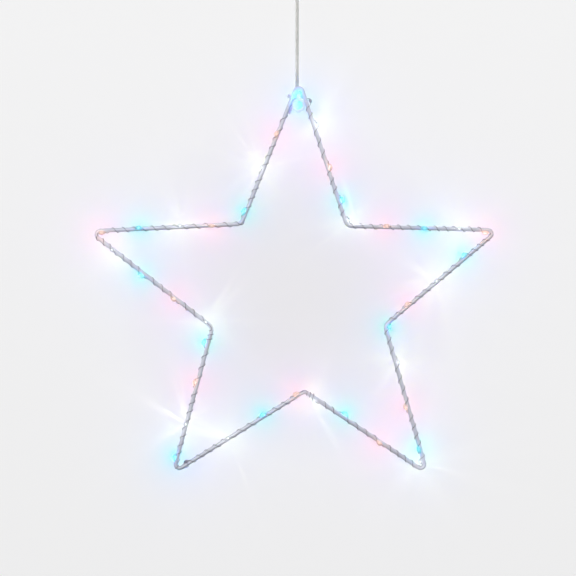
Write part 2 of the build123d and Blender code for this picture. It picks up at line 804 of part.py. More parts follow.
resistor_middle = electronics_middle - board_height / 2 + resistor_height + resistor_width / 2
with BuildPart() as board_resistors:
    with BuildSketch(Plane.XZ.offset(-board_front)):
        with Locations((board_offset, resistor_middle)):
            with GridLocations(2 * resistor_length, 0, 2, 1):
                Rectangle(resistor_length, resistor_width)
    extrude(amount=resistor_height)
finish(board_resistors.part, "board_resistors")

switch_front = board_front - switch_depth
well_depth = slider_plate_thickness + 2 * panel_hole_clearance
well_width = slider_plate_width + 2 * switch_travel + 2 * panel_hole_clearance
plate_height = slider_height + 2 * panel_hole_clearance
with BuildPart() as switch_body:
    with BuildSketch(Plane.XZ.offset(-board_front)):
        with Locations((board_offset, switch_middle)):
            Rectangle(switch_width, switch_height)
    extrude(amount=switch_depth)
    with BuildSketch(Plane.XZ.offset(-switch_front)):
        with Locations((board_offset, switch_middle)):
            Rectangle(well_width, plate_height + 2 * seat_gap)
    extrude(amount=-well_depth, mode=Mode.SUBTRACT)
finish(switch_body.part, "switch_body")

plate_back = switch_front + well_depth - panel_hole_clearance
with BuildPart() as switch_slider:
    with BuildSketch(Plane.XZ.offset(-plate_back)):
        with Locations((board_offset, switch_middle)):
            Rectangle(slider_plate_width, plate_height)
    extrude(amount=slider_plate_thickness)
    with BuildSketch(Plane.XZ.offset(-plate_back)):
        with Locations((board_offset, switch_middle)):
            Rectangle(slider_width, slider_height)
    extrude(amount=plate_back - box_front + slider_proud)
    fillet(switch_slider.faces().sort_by(Axis.Y)[0].edges(), slider_rounding)
finish(switch_slider.part, "switch_slider")


# Hook-up wires
def write_wires(name, diameter, bend_radius, routes):
    """One node of round wires, each along straight runs joined by arcs."""
    with BuildPart() as wires:
        for route in routes:
            with BuildLine() as path:
                FilletPolyline(*route, radius=bend_radius)
            with BuildSketch(Plane(path.line @ 0, z_dir=path.line % 0)):
                Circle(diameter / 2)
            sweep(path=path.line)
    finish(wires.part, name)


wire_level = electronics_top - 2 * hookup_wire_diameter
wire_row = cell_y + cell_radius / 2
write_wires("battery_wire_red", hookup_wire_diameter, hookup_bend_radius, [[
    (corner_wire_x, corner_wire_y, bay_top - contact_sheet),
    (corner_wire_x, corner_wire_y, wire_level),
    (board_offset + board_width / 4, wire_row, wire_level),
    (board_offset + board_width / 4, board_back, wire_level),
]])
write_wires("battery_wire_black", hookup_wire_diameter, hookup_bend_radius, [[
    (-corner_wire_x, corner_wire_y, bay_bottom),
    (-corner_wire_x, corner_wire_y, wire_level),
    (board_offset - board_width / 4, wire_row, wire_level),
    (board_offset - board_width / 4, board_back, wire_level),
]])
core_start = pivot_z + ball_radius + ball_collar_height + lead_end_gap
board_side = board_offset - board_width / 2
core_rows = [
    (core_wire_diameter, core_start + 3 * core_wire_diameter, board_side + core_wire_diameter),
    (-core_wire_diameter, core_start + 3 * core_wire_diameter / 2, board_side + board_width / 4),
]
write_wires("lead_cores", core_wire_diameter, core_wire_diameter, [
    [
        (0, row, core_start),
        (0, row, level),
        (reach, row, level),
        (reach, board_back, level),
    ]
    for row, level, reach in core_rows
])

# Ball stop on the lead, and the gland whose seat and bell mouth let it swing
with BuildPart() as cord_stop:
    with BuildSketch(Plane.XZ.offset(0)):
        with Locations((0, pivot_z)):
            Circle(ball_radius)
            Rectangle(ball_radius, 2 * ball_radius, align=(Align.MAX, Align.CENTER), mode=Mode.SUBTRACT)
            Rectangle(lead_radius, ball_radius + ball_collar_height, align=(Align.MIN, Align.MIN))
    revolve(axis=Axis.Z)
finish(cord_stop.part, "cord_stop")

swing_limit = math.radians(swing_limit_degrees)
widest_tilt = math.acos(math.cos(swing_limit) ** 2)
throat_radius = lead_radius / math.cos(widest_tilt) + gland_seat_clearance
mouth_radius = throat_radius + gland_length * math.tan(widest_tilt)
flange_bottom = box_bottom - gland_flange_thickness
with BuildPart() as cord_gland:
    with BuildSketch(Plane.XZ):
        with BuildLine():
            Polyline(
                (0, pivot_z),
                (gland_top_radius, pivot_z),
                (gland_top_radius, box_bottom),
                (gland_flange_radius, box_bottom),
                (gland_flange_radius, flange_bottom),
                (gland_lip_radius, gland_bottom),
                (0, gland_bottom),
                close=True,
            )
        make_face()
        with BuildLine():
            Polyline(
                (0, pivot_z),
                (throat_radius, pivot_z),
                (mouth_radius, gland_bottom),
                (0, gland_bottom),
                close=True,
            )
        make_face(mode=Mode.SUBTRACT)
        with Locations((0, pivot_z)):
            Circle(ball_radius + ball_clearance, mode=Mode.SUBTRACT)
    revolve(axis=Axis.Z)
    fillet(cord_gland.edges().filter_by(GeomType.CIRCLE).group_by(Axis.Z)[0], gland_lip_rounding)
finish(cord_gland.part, "cord_gland")

print(f"box {box_width:.1f} x {box_depth:.1f} x {box_height:.1f} mm")
print(f"box top z {box_top:.2f}, back y {box_back:.2f}")
print(f"pivot z {pivot_z:.2f}, lead from z {lead_top:.2f} to {lead_bottom:.2f}, star top z {star_top:.2f}")
print(f"ring centre x {ring_centre.X:.2f} z {ring_centre.Z:.2f}")
print(f"switch x {board_offset:.2f} z {switch_middle:.2f}")
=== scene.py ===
import bpy
import math
import random
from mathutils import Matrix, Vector


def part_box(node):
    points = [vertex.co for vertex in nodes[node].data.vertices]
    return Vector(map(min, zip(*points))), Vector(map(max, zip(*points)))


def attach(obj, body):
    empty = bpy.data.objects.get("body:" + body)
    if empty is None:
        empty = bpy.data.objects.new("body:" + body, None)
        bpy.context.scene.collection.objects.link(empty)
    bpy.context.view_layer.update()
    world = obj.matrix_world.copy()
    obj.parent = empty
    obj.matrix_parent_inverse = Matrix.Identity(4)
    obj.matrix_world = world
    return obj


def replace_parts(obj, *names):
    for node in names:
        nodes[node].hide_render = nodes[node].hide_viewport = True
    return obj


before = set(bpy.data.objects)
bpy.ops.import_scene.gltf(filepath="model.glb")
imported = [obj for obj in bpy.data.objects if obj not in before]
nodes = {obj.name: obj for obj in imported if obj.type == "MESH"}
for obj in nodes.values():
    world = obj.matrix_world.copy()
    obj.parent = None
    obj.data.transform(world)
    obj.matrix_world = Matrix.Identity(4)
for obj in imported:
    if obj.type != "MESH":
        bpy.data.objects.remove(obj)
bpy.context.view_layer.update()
random.seed(7)

# Lengths are in millimetres, as in the part's source, unless a heading says metres. MM makes metres of them.
MM = 0.001
FRONT = Vector((0, -1, 0))

# Star frame
STAR_WIDTH = 300.0
STAR_HEIGHT = 289.0
STAR_TOP = -166.0
FRAME_RADIUS = 1.5
TIP_BEND = 3.0
NOTCH_BEND = 5.0
LOWER_NOTCH = 5
LOWER_NOTCH_BEND = 3.0

# The ten corners, clockwise from the top point, as shares of the star's width and height
CORNER_SHARES = [
    (0.005, 0.014), (0.125, -0.364), (0.504, -0.375), (0.220, -0.623), (0.326, -1.008),
    (0.019, -0.794), (-0.311, -1.006), (-0.212, -0.628), (-0.520, -0.378), (-0.140, -0.359),
]

# The LEDs of each leg, clockwise from the top point: share of the leg, side in degrees and colour. A side of
# zero is the front of the frame, and it grows towards the outside of the star.
LED_SHARES = [
    [(0.050, -50, "cyan"), (0.113, 105, "violet"), (0.284, 46, "white"), (0.585, 32, "orange"),
     (0.825, 48, "cyan"), (0.972, 75, "white")],
    [(0.269, 13, "orange"), (0.529, -5, "cyan"), (0.768, 0, "white"), (0.950, -40, "orange")],
    [(0.261, -46, "cyan"), (0.525, -12, "white"), (0.788, -31, "orange")],
    [(0.003, 42, "cyan"), (0.260, 34, "white"), (0.568, -38, "orange"), (0.865, -20, "cyan"),
     (0.950, -45, "white")],
    [(0.361, 20, "orange"), (0.675, -57, "cyan"), (0.908, 39, "white")],
    [(0.060, -33, "orange"), (0.321, -31, "cyan"), (0.600, -7, "white"), (0.921, -42, "violet")],
    [(0.070, 35, "cyan"), (0.311, 3, "white"), (0.607, 40, "orange"), (0.891, 78, "cyan")],
    [(0.053, -3, "white"), (0.318, 20, "orange"), (0.588, 38, "cyan"), (0.842, 8, "white")],
    [(0.045, -30, "orange"), (0.301, 11, "cyan"), (0.583, 12, "white"), (0.802, -7, "orange")],
    [(0.085, 30, "cyan"), (0.401, 24, "white"), (0.648, 12, "orange")],
]
FIRST_WINDING_LEDS = 5
WINDING_LEDS = 4

# LED wire: a fine twisted pair wound round the frame
WINDING_RADIUS = 1.88
WINDING_PITCH = 9.4
WINDING_STEP = 0.6
FEWEST_STEPS = 8
STRAND_RADIUS = 0.155
STRAND_OFFSET = 0.14
STRAND_TWIST = 6.0
LED_RISE = 1.4
LED_RISE_RUN = 4.8
LED_STRAIGHT_RUN = 1.9
BEND_NEAR = 9.0
BEND_PAST = 1.5
TURN_RAMP = 0.07
SPLICE_WIRE_GAP = 0.3

# Resin drops. A range is what a drop's length, fullness or lean may be, as a share of the even one.
DROP_RADIUS = 1.85
DROP_HALF_LENGTH = 3.7
DROP_LIFT = 0.2
DROP_STEPS = 20
LENGTH_RANGE = (0.88, 0.98)
FULLNESS_RANGE = (0.88, 0.97)
LEAN_RANGE = (-0.12, 0.12)
BELLY_REACH = 0.82
BELLY_CURVE = 2.2
BELLY_ROUNDNESS = 0.6
DROP_TAIL_RADIUS = 0.34
DROP_TAIL_SWELL = 0.5
DROP_TAIL_CURVE = 1.3

# LED chips in the drops. Sizes are along the frame, across it and away from it.
CHIP_LIFT = 0.3
CHIP_BODY = (1.6, 0.85, 0.3)
CHIP_BODY_SINK = 0.12
CHIP_BODY_BEVEL = 0.05
CHIP_FACE = (1.0, 0.7, 0.26)
CHIP_FACE_RISE = 0.13
CHIP_FACE_BEVEL = 0.08
SOLDER_REACH = 0.86
SOLDER_SINK = 0.18
SOLDER_PROFILE = [(-0.24, 0.03), (-0.15, 0.17), (0.0, 0.23), (0.15, 0.17), (0.24, 0.03)]

# Hanging ring and its weld beads. Each bead is a rise along the leg and a radius.
RING_RADIUS = 4.9
RING_SEAT_GAP = 0.05
WELD_BEADS = [(-0.9, 0.55), (-0.2, 0.75), (0.55, 0.62)]
BEAD_ANGLES = [-1.4, -1.0, -0.5, 0.0, 0.5, 1.0, 1.4]

# Lead and its tail: a jacket and two cores
LEAD_TOP = -81.5
LEAD_BOTTOM = -156.0
LEAD_RADIUS = 1.3
JACKET_INSET = 0.02
CORE_RADIUS = 0.46
CORE_OFFSET = 0.60
CORE_TWIST = 85.0
CORE_PHASE = 0.6
TAIL_GAP = 0.4
TAIL_INSET = 1.5
TAIL_LEAD_IN = 3.0
TAIL_STRAIGHT_RUN = 3.7
TAIL_END_INSET = 0.6

# Splice and its shrink sleeve, on which the ripple's rate is in radians over half the sleeve
SPLICE_REACH = 22.7
SPLICE_LENGTH = 6.0
SPLICE_WALL = 0.35
SPLICE_SIDE_DEGREES = -149
SLEEVE_HALF_STEPS = 15
SLEEVE_INSET = 0.04
SLEEVE_DRAWN_IN = 0.2
SLEEVE_DRAW_CURVE = 6
RIPPLE_DEPTH = 0.04
RIPPLE_RATE = 17

# Cable tie. Its outer face is a share of its width, and the size of its cut end is along the leg, to the
# front and outwards.
TIE_WIDTH = 1.8
TIE_BAND = 0.6
TIE_GAP = 0.05
TIE_RING_GAP = 0.6
TIE_ARC_STEPS = 24
TIE_TOOTH_SHARE = 0.1
TIE_OUTER_SHARE = 0.84
TIE_HEAD = 2.4
TIE_HEAD_DEPTH = 2.2
TIE_HEAD_BEVEL = 0.3
TIE_END = (1.44, 0.7, 0.54)
TIE_END_BEVEL = 0.1

# Light of the LEDs. Pools and rays fall on a clear film behind the star, as on a wall. A pool is a spread and
# the brightness at its middle, where a channel below zero takes that colour out of the wall's white. Rays
# show where a ripple round the lamp is above a low value, and in full above a high one.
FILM_BACK = 6.2
FILM_WHITE = 0.3
LAMP_SIZE = 2.0
POINT_RADIUS = 0.3
LAMP_LIFT = 4.0
TOP_RUN = 15.0
TOP_SHIFT = 7.0
HAZE = (32, (-0.012, -0.014, 0.065))
RAY_SPREAD = 17.0
RAY_COLOUR = (1, 0.95, 0.70)
RAY_SCALE = 12.0
RAY_LOW = 0.54
RAY_HIGH = 0.70

# Each colour of LED. Its resin has a tint, a clearness, a power to bend light (ior) and a fullness (girth).
# The light from inside has a colour and a strength in the resin (glow) and on the chip (core). What it casts
# on the star has a colour and watts (power), with a gain in the top point. The rays on the wall are in watts.
LED_LOOKS = {
    "cyan": {"resin": (0.46, 0.85, 0.90), "clear": 0.7, "ior": 1.4, "girth": 0.97,
             "light": (0.13, 0.64, 0.78), "glow": 0.26, "core": 1.1,
             "cast": (0.02, 0.30, 1.0), "power": 0.0013, "gain": 4,
             "pools": [(4, (-0.36, 0, 0)), (15, (-0.25, 0.115, 0))], "rays": 0},
    "white": {"resin": (0.84, 0.88, 0.92), "clear": 0.85, "ior": 1.1, "girth": 0.84,
              "light": (1.0, 1.0, 1.0), "glow": 0.12, "core": 0.8,
              "cast": (1.0, 0.98, 0.92), "power": 0.0010, "gain": 1,
              "pools": [(18, (0.085, 0.125, 0))], "rays": 0.0048},
    "orange": {"resin": (0.95, 0.80, 0.74), "clear": 0.6, "ior": 1.4, "girth": 0.90,
               "light": (1.0, 0.56, 0.46), "glow": 0.11, "core": 0.6,
               "cast": (1.0, 0.42, 0.25), "power": 0.0012, "gain": 1,
               "pools": [(4, (-0.03, -0.10, -0.10)), (19, (0.18, -0.045, -0.05))], "rays": 0},
    "violet": {"resin": (0.44, 0.40, 0.54), "clear": 0.2, "ior": 1.4, "girth": 0.66,
               "light": (0.45, 0.30, 0.80), "glow": 0.0, "core": 0.2,
               "cast": (0.55, 0.25, 1.0), "power": 0.0001, "gain": 1,
               "pools": [(12, (-0.05, -0.07, 0.02))], "rays": 0},
}

# Battery cells: shares of a cell's height, from its flat end, at which the sleeve, the copper band and the
# bare nub end start
CELL_SLEEVE_START = 0.012
CELL_COPPER_START = 0.70
CELL_NUB_START = 0.967

# Stage, in metres: the floor, and the film's edges, towards which it fades
FLOOR_HEIGHT = -0.9
FLOOR_REACH = 1.8
FILM_SIDE = 0.32
FILM_LOW = -0.66
FILM_HIGH = -0.092
FILM_FADE = 0.055

# Backdrop: its colours below and above, which meet between two slopes, and the painted shade that it has
# behind the star, which goes from nothing to full between two angles from straight ahead
BACKDROP_LOW = (0.850, 0.850, 0.852)
BACKDROP_HIGH = (0.895, 0.895, 0.898)
BACKDROP_SLOPE = 0.17
STAR_SHADE = (0.93, 0.92, 0.92)
STAR_SHADE_START_DEGREES = 6
STAR_SHADE_FULL_DEGREES = 2

# Studio lamps, which face the star's middle: name, place and width in metres, and watts
STAR_MIDDLE = Vector((0, 0, -0.30))
STUDIO_LAMPS = [
    ("key_lamp", (-0.40, -1.60, 0.05), 0.8, 22.0),
    ("fill_lamp", (0.9, -1.2, -0.25), 1.0, 3.0),
    ("left_lamp", (-1.35, 0.10, 0.0), 0.9, 6.0),
    ("right_lamp", (1.35, 0.10, 0.0), 0.9, 6.0),
    ("top_lamp", (0.0, 0.10, 1.1), 0.9, 7.0),
    ("back_lamp", (0.5, 1.35, 0.45), 1.0, 13.0),
    ("back_fill_lamp", (-0.9, 1.1, -0.3), 1.0, 6.0),
]

# Photograph: a pixel's size at the star in metres, how many pixels there are, and those of the star's axis
# and top. The lens and the width of the sensor are a camera's own.
PIXEL = 0.75188 * MM
PHOTO_PIXELS = 576
STAR_AXIS_PIXEL = 297.1
STAR_TOP_PIXEL = 86
LENS = 105
SENSOR_WIDTH = 36

# Worn surfaces: how much finer the patches of gloss are than those of colour, and how far they go each way
GLOSS_FINENESS = 2.3
SLEEKER = 0.05
DULLER = 0.07

# Edges of a mesh that turn by more than this stay sharp
SHARP_DEGREES = 40


# Path of the frame wire, the same as in the part's source
corners = [(across * STAR_WIDTH, STAR_TOP + up * STAR_HEIGHT) for across, up in CORNER_SHARES]
bend_radii = [TIP_BEND, NOTCH_BEND] * 5
bend_radii[LOWER_NOTCH] = LOWER_NOTCH_BEND


def star_stretches():
    """Bends and legs of the centre line, from the top bend: start, end, point, heading, curvature."""
    count = len(corners)
    headings = []
    for here, after in zip(corners, corners[1:] + corners[:1]):
        headings.append(math.atan2(after[1] - here[1], after[0] - here[0]))
    turns = []
    for before, here in zip(headings[-1:] + headings[:-1], headings):
        turns.append((here - before + math.pi) % (2 * math.pi) - math.pi)
    cut_backs = [radius * math.tan(abs(turn) / 2) for radius, turn in zip(bend_radii, turns)]
    found = []
    start = -bend_radii[0] * abs(turns[0]) / 2
    for i in range(count):
        x, z = corners[i]
        bend_length = bend_radii[i] * abs(turns[i])
        cut_back, next_cut_back = cut_backs[i], cut_backs[(i + 1) % count]
        bend_start = (x - cut_back * math.cos(headings[i - 1]), z - cut_back * math.sin(headings[i - 1]))
        found.append((start, start + bend_length, bend_start, headings[i - 1], turns[i] / bend_length))
        start += bend_length
        leg_length = math.dist(corners[i], corners[(i + 1) % count]) - cut_back - next_cut_back
        leg_start = (x + cut_back * math.cos(headings[i]), z + cut_back * math.sin(headings[i]))
        found.append((start, start + leg_length, leg_start, headings[i], 0))
        start += leg_length
    return found


stretches = star_stretches()
path_start = stretches[0][0]
path_length = stretches[-1][1] - path_start
bend_middles = [(start + end) / 2 for start, end, point, heading, bend in stretches[::2]]
bend_middles.append(bend_middles[0] + path_length)


def frame_axes(distance):
    """Centre, direction along the frame and outward direction at a distance along it."""
    distance = (distance - path_start) % path_length + path_start
    for start, end, (x, z), heading, bend in stretches:
        if distance <= end:
            break
    run = distance - start
    turned = heading + bend * run
    if bend:
        x += (math.sin(turned) - math.sin(heading)) / bend
        z -= (math.cos(turned) - math.cos(heading)) / bend
    else:
        x += run * math.cos(heading)
        z += run * math.sin(heading)
    along = Vector((math.cos(turned), 0, math.sin(turned)))
    return Vector((x, 0, z)), along, Vector((-along.z, 0, along.x))


def beside_frame(distance, reach, side):
    """A point at a reach from the frame's centre line, on the side given as an angle in radians."""
    centre, along, outward = frame_axes(distance)
    return centre + outward * (reach * math.sin(side)) + FRONT * (reach * math.cos(side))


leds = []
for leg, row in enumerate(LED_SHARES):
    leg_run = bend_middles[leg + 1] - bend_middles[leg]
    for share, side_degrees, colour in row:
        leds.append((bend_middles[leg] + share * leg_run, math.radians(side_degrees), colour))

top_corner = Vector((corners[0][0], 0, corners[0][1]))
right_leg = (Vector((corners[1][0], 0, corners[1][1])) - top_corner).normalized()
left_leg = (Vector((corners[-1][0], 0, corners[-1][1])) - top_corner).normalized()
left_outward = Vector((left_leg.z, 0, -left_leg.x))
half_tip_angle = math.acos(right_leg.dot(left_leg)) / 2
top_cut_back = TIP_BEND / math.tan(half_tip_angle)
top_half_bend = TIP_BEND * (math.pi / 2 - half_tip_angle)
splice_lower = bend_middles[-1] - (SPLICE_REACH - top_cut_back + top_half_bend) - SPLICE_LENGTH / 2
ring_reach = (RING_RADIUS + FRAME_RADIUS + RING_SEAT_GAP) / math.sin(half_tip_angle)
ring_centre = top_corner + (right_leg + left_leg).normalized() * ring_reach


def placed(name, data):
    """A new object of the scene."""
    made = bpy.data.objects.new(name, data)
    bpy.context.scene.collection.objects.link(made)
    return made


# Building of meshes, in millimetres
def axes_along(points):
    """Tangent, normal and binormal at each point of a line, carried along it without twist."""
    last = len(points) - 1
    normal = (points[1] - points[0]).normalized().orthogonal()
    found = []
    for i in range(len(points)):
        tangent = (points[min(i + 1, last)] - points[max(i - 1, 0)]).normalized()
        normal = (normal - tangent * normal.dot(tangent)).normalized()
        found.append((tangent, normal, tangent.cross(normal)))
    return found


def circle(centre, across, other, sides):
    """Points round a circle or ellipse given by its two radius vectors."""
    angles = [2 * math.pi * k / sides for k in range(sides)]
    return [centre + across * math.cos(angle) + other * math.sin(angle) for angle in angles]


class Builder:
    """Gathers the vertices and faces of one piece."""

    def __init__(self):
        self.verts = []
        self.faces = []
        self.slots = []

    def rings(self, loops, slot=0, closed=False):
        """Skins a row of loops that have the same number of points, and caps the ends."""
        base = len(self.verts)
        sides = len(loops[0])
        pairs = len(loops) if closed else len(loops) - 1
        made = []
        for i in range(pairs):
            low, high = base + i * sides, base + (i + 1) % len(loops) * sides
            for k in range(sides):
                after = (k + 1) % sides
                made.append([low + k, low + after, high + after, high + k])
        if not closed:
            last = base + (len(loops) - 1) * sides
            made.append(list(range(base, base + sides))[::-1])
            made.append(list(range(last, last + sides)))
        self.verts += [point for loop in loops for point in loop]
        self.faces += made
        self.slots += [slot] * len(made)

    def tube(self, points, radii, sides, slot=0):
        """A round tube along a line, with one radius or a list of them."""
        if not isinstance(radii, list):
            radii = [radii] * len(points)
        loops = []
        for point, radius, (tangent, normal, binormal) in zip(points, radii, axes_along(points)):
            loops.append(circle(point, normal * radius, binormal * radius, sides))
        self.rings(loops, slot)

    def lathe(self, profile, origin, axis, sides, slot=0):
        """A turned solid: profile is pairs of height along the axis and radius."""
        across = axis.orthogonal().normalized()
        other = axis.cross(across)
        self.rings([circle(origin + axis * height, across * radius, other * radius, sides)
                    for height, radius in profile], slot)

    def block(self, centre, axes, size, bevel, slot=0):
        """A block with its edges cut back by a bevel."""
        x_axis, y_axis, z_axis = axes
        half_x, half_y, half_z = size[0] / 2, size[1] / 2, size[2] / 2
        loops = []
        levels = [(-half_z, bevel), (bevel - half_z, 0), (half_z - bevel, 0), (half_z, bevel)]
        for level, inset in levels:
            x, y = half_x - inset, half_y - inset
            outline = [(x - bevel, y), (-x + bevel, y), (-x, y - bevel), (-x, -y + bevel),
                       (-x + bevel, -y), (x - bevel, -y), (x, -y + bevel), (x, y - bevel)]
            loops.append([centre + x_axis * u + y_axis * v + z_axis * level for u, v in outline])
        self.rings(loops, slot)

    def make(self, name, body, materials, slot):
        """The finished piece, riding on a body, in the materials given. The slot is not used."""
        mesh = bpy.data.meshes.new(name)
        mesh.from_pydata([tuple(vert * MM) for vert in self.verts], [], self.faces)
        mesh.polygons.foreach_set("material_index", self.slots)
        for material in materials:
            mesh.materials.append(material)
        mesh.validate()
        mesh.shade_smooth()
        mesh.set_sharp_from_angle(angle=math.radians(SHARP_DEGREES))
        piece = placed(name, mesh)
        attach(piece, body)
        return piece


def twisted(points, offset, pitch, phase=0.0):
    """Centre lines of two strands twisted round a line."""
    strands = [[], []]
    run = 0.0
    for i, (point, (tangent, normal, binormal)) in enumerate(zip(points, axes_along(points))):
        run += (point - points[max(i - 1, 0)]).length
        angle = phase + 2 * math.pi * run / pitch
        away = (normal * math.cos(angle) + binormal * math.sin(angle)) * offset
        strands[0].append(point + away)
        strands[1].append(point - away)
    return strands


def smooth_line(points, resolution):
    """Points read from a smooth curve whose control points are given."""
    curve = bpy.data.curves.new("route", "CURVE")
    curve.dimensions = "3D"
    spline = curve.splines.new("NURBS")
    spline.points.add(len(points) - 1)
    for knot, point in zip(spline.points, points):
        knot.co = (*(point * MM), 1)
    spline.order_u = 3
    spline.use_endpoint_u = True
    spline.resolution_u = resolution
    route = bpy.data.objects.new("route", curve)
    line = bpy.data.meshes.new_from_object(route)
    found = [vertex.co / MM for vertex in line.vertices]
    bpy.data.objects.remove(route)
    return found


# Materials
def plain(name, colour, roughness, **more):
    """A material whose even values are set on the shader's own sockets."""
    material = bpy.data.materials.new(name)
    material.use_nodes = True
    shader = material.node_tree.nodes["Principled BSDF"]
    shader.inputs["Base Color"].default_value = (*colour, 1)
    shader.inputs["Roughness"].default_value = roughness
    for key, value in more.items():
        socket = key.replace("_", " ").title().replace("Ior", "IOR")
        shader.inputs[socket].default_value = (*value, 1) if isinstance(value, tuple) else value
    return material


def linked(tree, operation, first, second):
    """Two values joined by one operation of a Math node."""
    made = tree.nodes.new("ShaderNodeMath")
    made.operation = operation
    tree.links.new(first, made.inputs[0])
    tree.links.new(second, made.inputs[1])
    return made.outputs[0]


def share_between(tree, value, start, end):
    """Node for how far a value is on its way from a start to an end, kept from zero to one."""
    span = tree.nodes.new("ShaderNodeMapRange")
    span.inputs["From Min"].default_value = start
    span.inputs["From Max"].default_value = end
    tree.links.new(value, span.inputs["Value"])
    return span


def texture(material, kind, scale, stretch=(1, 1, 1), **settings):
    """A procedural texture's first factor, in the object's own coordinates in metres."""
    tree = material.node_tree
    coordinates = tree.nodes.new("ShaderNodeTexCoord")
    mapping = tree.nodes.new("ShaderNodeMapping")
    mapping.inputs["Scale"].default_value = stretch
    made = tree.nodes.new(kind)
    made.inputs["Scale"].default_value = scale
    for key, value in settings.items():
        made.inputs[key].default_value = value
    tree.links.new(coordinates.outputs["Object"], mapping.inputs["Vector"])
    tree.links.new(mapping.outputs["Vector"], made.inputs["Vector"])
    return made.outputs[0]


def ramped(material, factor, stops, kind="LINEAR"):
    """A colour that follows a factor through stops of position and colour or grey value."""
    ramp = material.node_tree.nodes.new("ShaderNodeValToRGB")
    ramp.color_ramp.interpolation = kind
    while len(ramp.color_ramp.elements) < len(stops):
        ramp.color_ramp.elements.new(1)
    for element, (position, value) in zip(ramp.color_ramp.elements, stops):
        element.position = position
        element.color = (*value, 1) if isinstance(value, tuple) else (value, value, value, 1)
    material.node_tree.links.new(factor, ramp.inputs["Fac"])
    return ramp.outputs["Color"]


def paint(material, socket, output):
    """Feeds a socket of the material's shader."""
    material.node_tree.links.new(output, material.node_tree.nodes["Principled BSDF"].inputs[socket])


def rough_up(material, height, depth, strength=0.5):
    """Fine relief from a factor, its depth in metres."""
    bump = material.node_tree.nodes.new("ShaderNodeBump")
    bump.inputs["Strength"].default_value = strength
    bump.inputs["Distance"].default_value = depth
    material.node_tree.links.new(height, bump.inputs["Height"])
    paint(material, "Normal", bump.outputs["Normal"])


def worn(name, dark, light, roughness, patch, grain, depth, **more):
    """A surface with slow colour patches, uneven gloss and a fine grain.

    Patch and grain are the scales of their noise per metre, and depth is the grain's relief in metres.
    """
    material = plain(name, light, roughness, **more)
    slow = texture(material, "ShaderNodeTexNoise", patch, Detail=4)
    paint(material, "Base Color", ramped(material, slow, [(0.35, dark), (0.65, light)]))
    uneven = texture(material, "ShaderNodeTexNoise", patch * GLOSS_FINENESS, Detail=3)
    gloss = ramped(material, uneven, [(0.3, roughness - SLEEKER), (0.7, roughness + DULLER)])
    paint(material, "Roughness", gloss)
    rough_up(material, texture(material, "ShaderNodeTexNoise", grain, Detail=2), depth)
    return material


def frame_lacquer():
    """Silver-grey lacquer on the bent steel wire, with a faint orange peel."""
    return worn("frame_lacquer", (0.48, 0.49, 0.56), (0.55, 0.57, 0.645), 0.38, 130, 1500, 0.00005,
                metallic=0.1, specular_ior_level=0.25)


def ring_lacquer_painted_cyan_light():
    # Painted light: the lacquer is made blue-lilac to stand in for the cyan light of the LED in the top
    # point, which falls on the ring.
    return worn("ring_lacquer_painted_cyan_light", (0.50, 0.56, 0.70), (0.58, 0.64, 0.80), 0.34, 220, 1800, 0.00005,
                metallic=0.1, specular_ior_level=0.3)


def wire_enamel_painted_shade():
    """Varnished fine strands. Their dark grey is painted shade: the strands are made darker than their metal
    to stand in for the shade along the winding.
    """
    return worn("wire_enamel_painted_shade", (0.13, 0.125, 0.15), (0.21, 0.205, 0.24), 0.30, 420, 5200, 0.00002,
                metallic=0.4, coat_weight=0.5, coat_roughness=0.15)


def drop_resin(colour):
    """Clear cast resin that the chip lights from inside."""
    look = LED_LOOKS[colour]
    material = plain(f"resin_{colour}", look["resin"], 0.10, transmission_weight=look["clear"],
                     ior=look["ior"], emission_color=look["light"], emission_strength=look["glow"])
    cloud = texture(material, "ShaderNodeTexNoise", scale=500, Detail=2)
    pale = tuple(min(1.0, value * 1.08) for value in look["resin"])
    dark = tuple(value * 0.86 for value in look["resin"])
    paint(material, "Base Color", ramped(material, cloud, [(0.35, dark), (0.65, pale)]))
    ripple = texture(material, "ShaderNodeTexNoise", scale=800, Detail=1)
    rough_up(material, ripple, depth=0.00006, strength=0.3)
    return material


def chip_light(colour):
    """The lit phosphor face of a chip."""
    look = LED_LOOKS[colour]
    material = plain(f"chip_light_{colour}", look["resin"], 0.4, emission_color=look["light"],
                     emission_strength=look["core"])
    grain = texture(material, "ShaderNodeTexVoronoi", scale=6000)
    dark = tuple(value * 0.8 for value in look["resin"])
    paint(material, "Base Color", ramped(material, grain, [(0.0, look["resin"]), (0.6, dark)]))
    return material


def chip_ceramic():
    return worn("chip_ceramic", (0.70, 0.70, 0.66), (0.84, 0.84, 0.80), 0.45, 900, 6000, 0.00002)


def solder_metal():
    return worn("solder_metal", (0.50, 0.50, 0.52), (0.70, 0.70, 0.72), 0.25, 1500, 4000, 0.00004,
                metallic=1.0)


# LED wire, turned round the frame from LED to LED
def winding_knots():
    """Distance along the frame and angle turned at each LED and at the splice."""
    found = [(leds[0][0], -leds[0][1])]
    splice_end = (splice_lower - SPLICE_WIRE_GAP, math.radians(SPLICE_SIDE_DEGREES))
    for distance, side in [led[:2] for led in leds[1:]] + [splice_end]:
        last_distance, last_turned = found[-1]
        part_turn = (-side - last_turned) % (2 * math.pi)
        whole_turns = round((distance - last_distance) / WINDING_PITCH - part_turn / (2 * math.pi))
        found.append((distance, last_turned + part_turn + max(whole_turns, 0) * 2 * math.pi))
    return found


knots = winding_knots()


def eased(share):
    """Share of a turn made at a share of its run, slower over a ramp at each end."""
    full = 1 - TURN_RAMP
    if share < TURN_RAMP:
        return share * share / (2 * TURN_RAMP * full)
    if share > full:
        return 1 - (1 - share) ** 2 / (2 * TURN_RAMP * full)
    return (share - TURN_RAMP / 2) / full


def wire_reach(offset):
    """Reach of the wire from the frame's centre line, at an offset along the frame from an LED."""
    share = min(abs(offset) / LED_RISE_RUN, 1)
    return WINDING_RADIUS + LED_RISE * (1 - share * share) ** 2


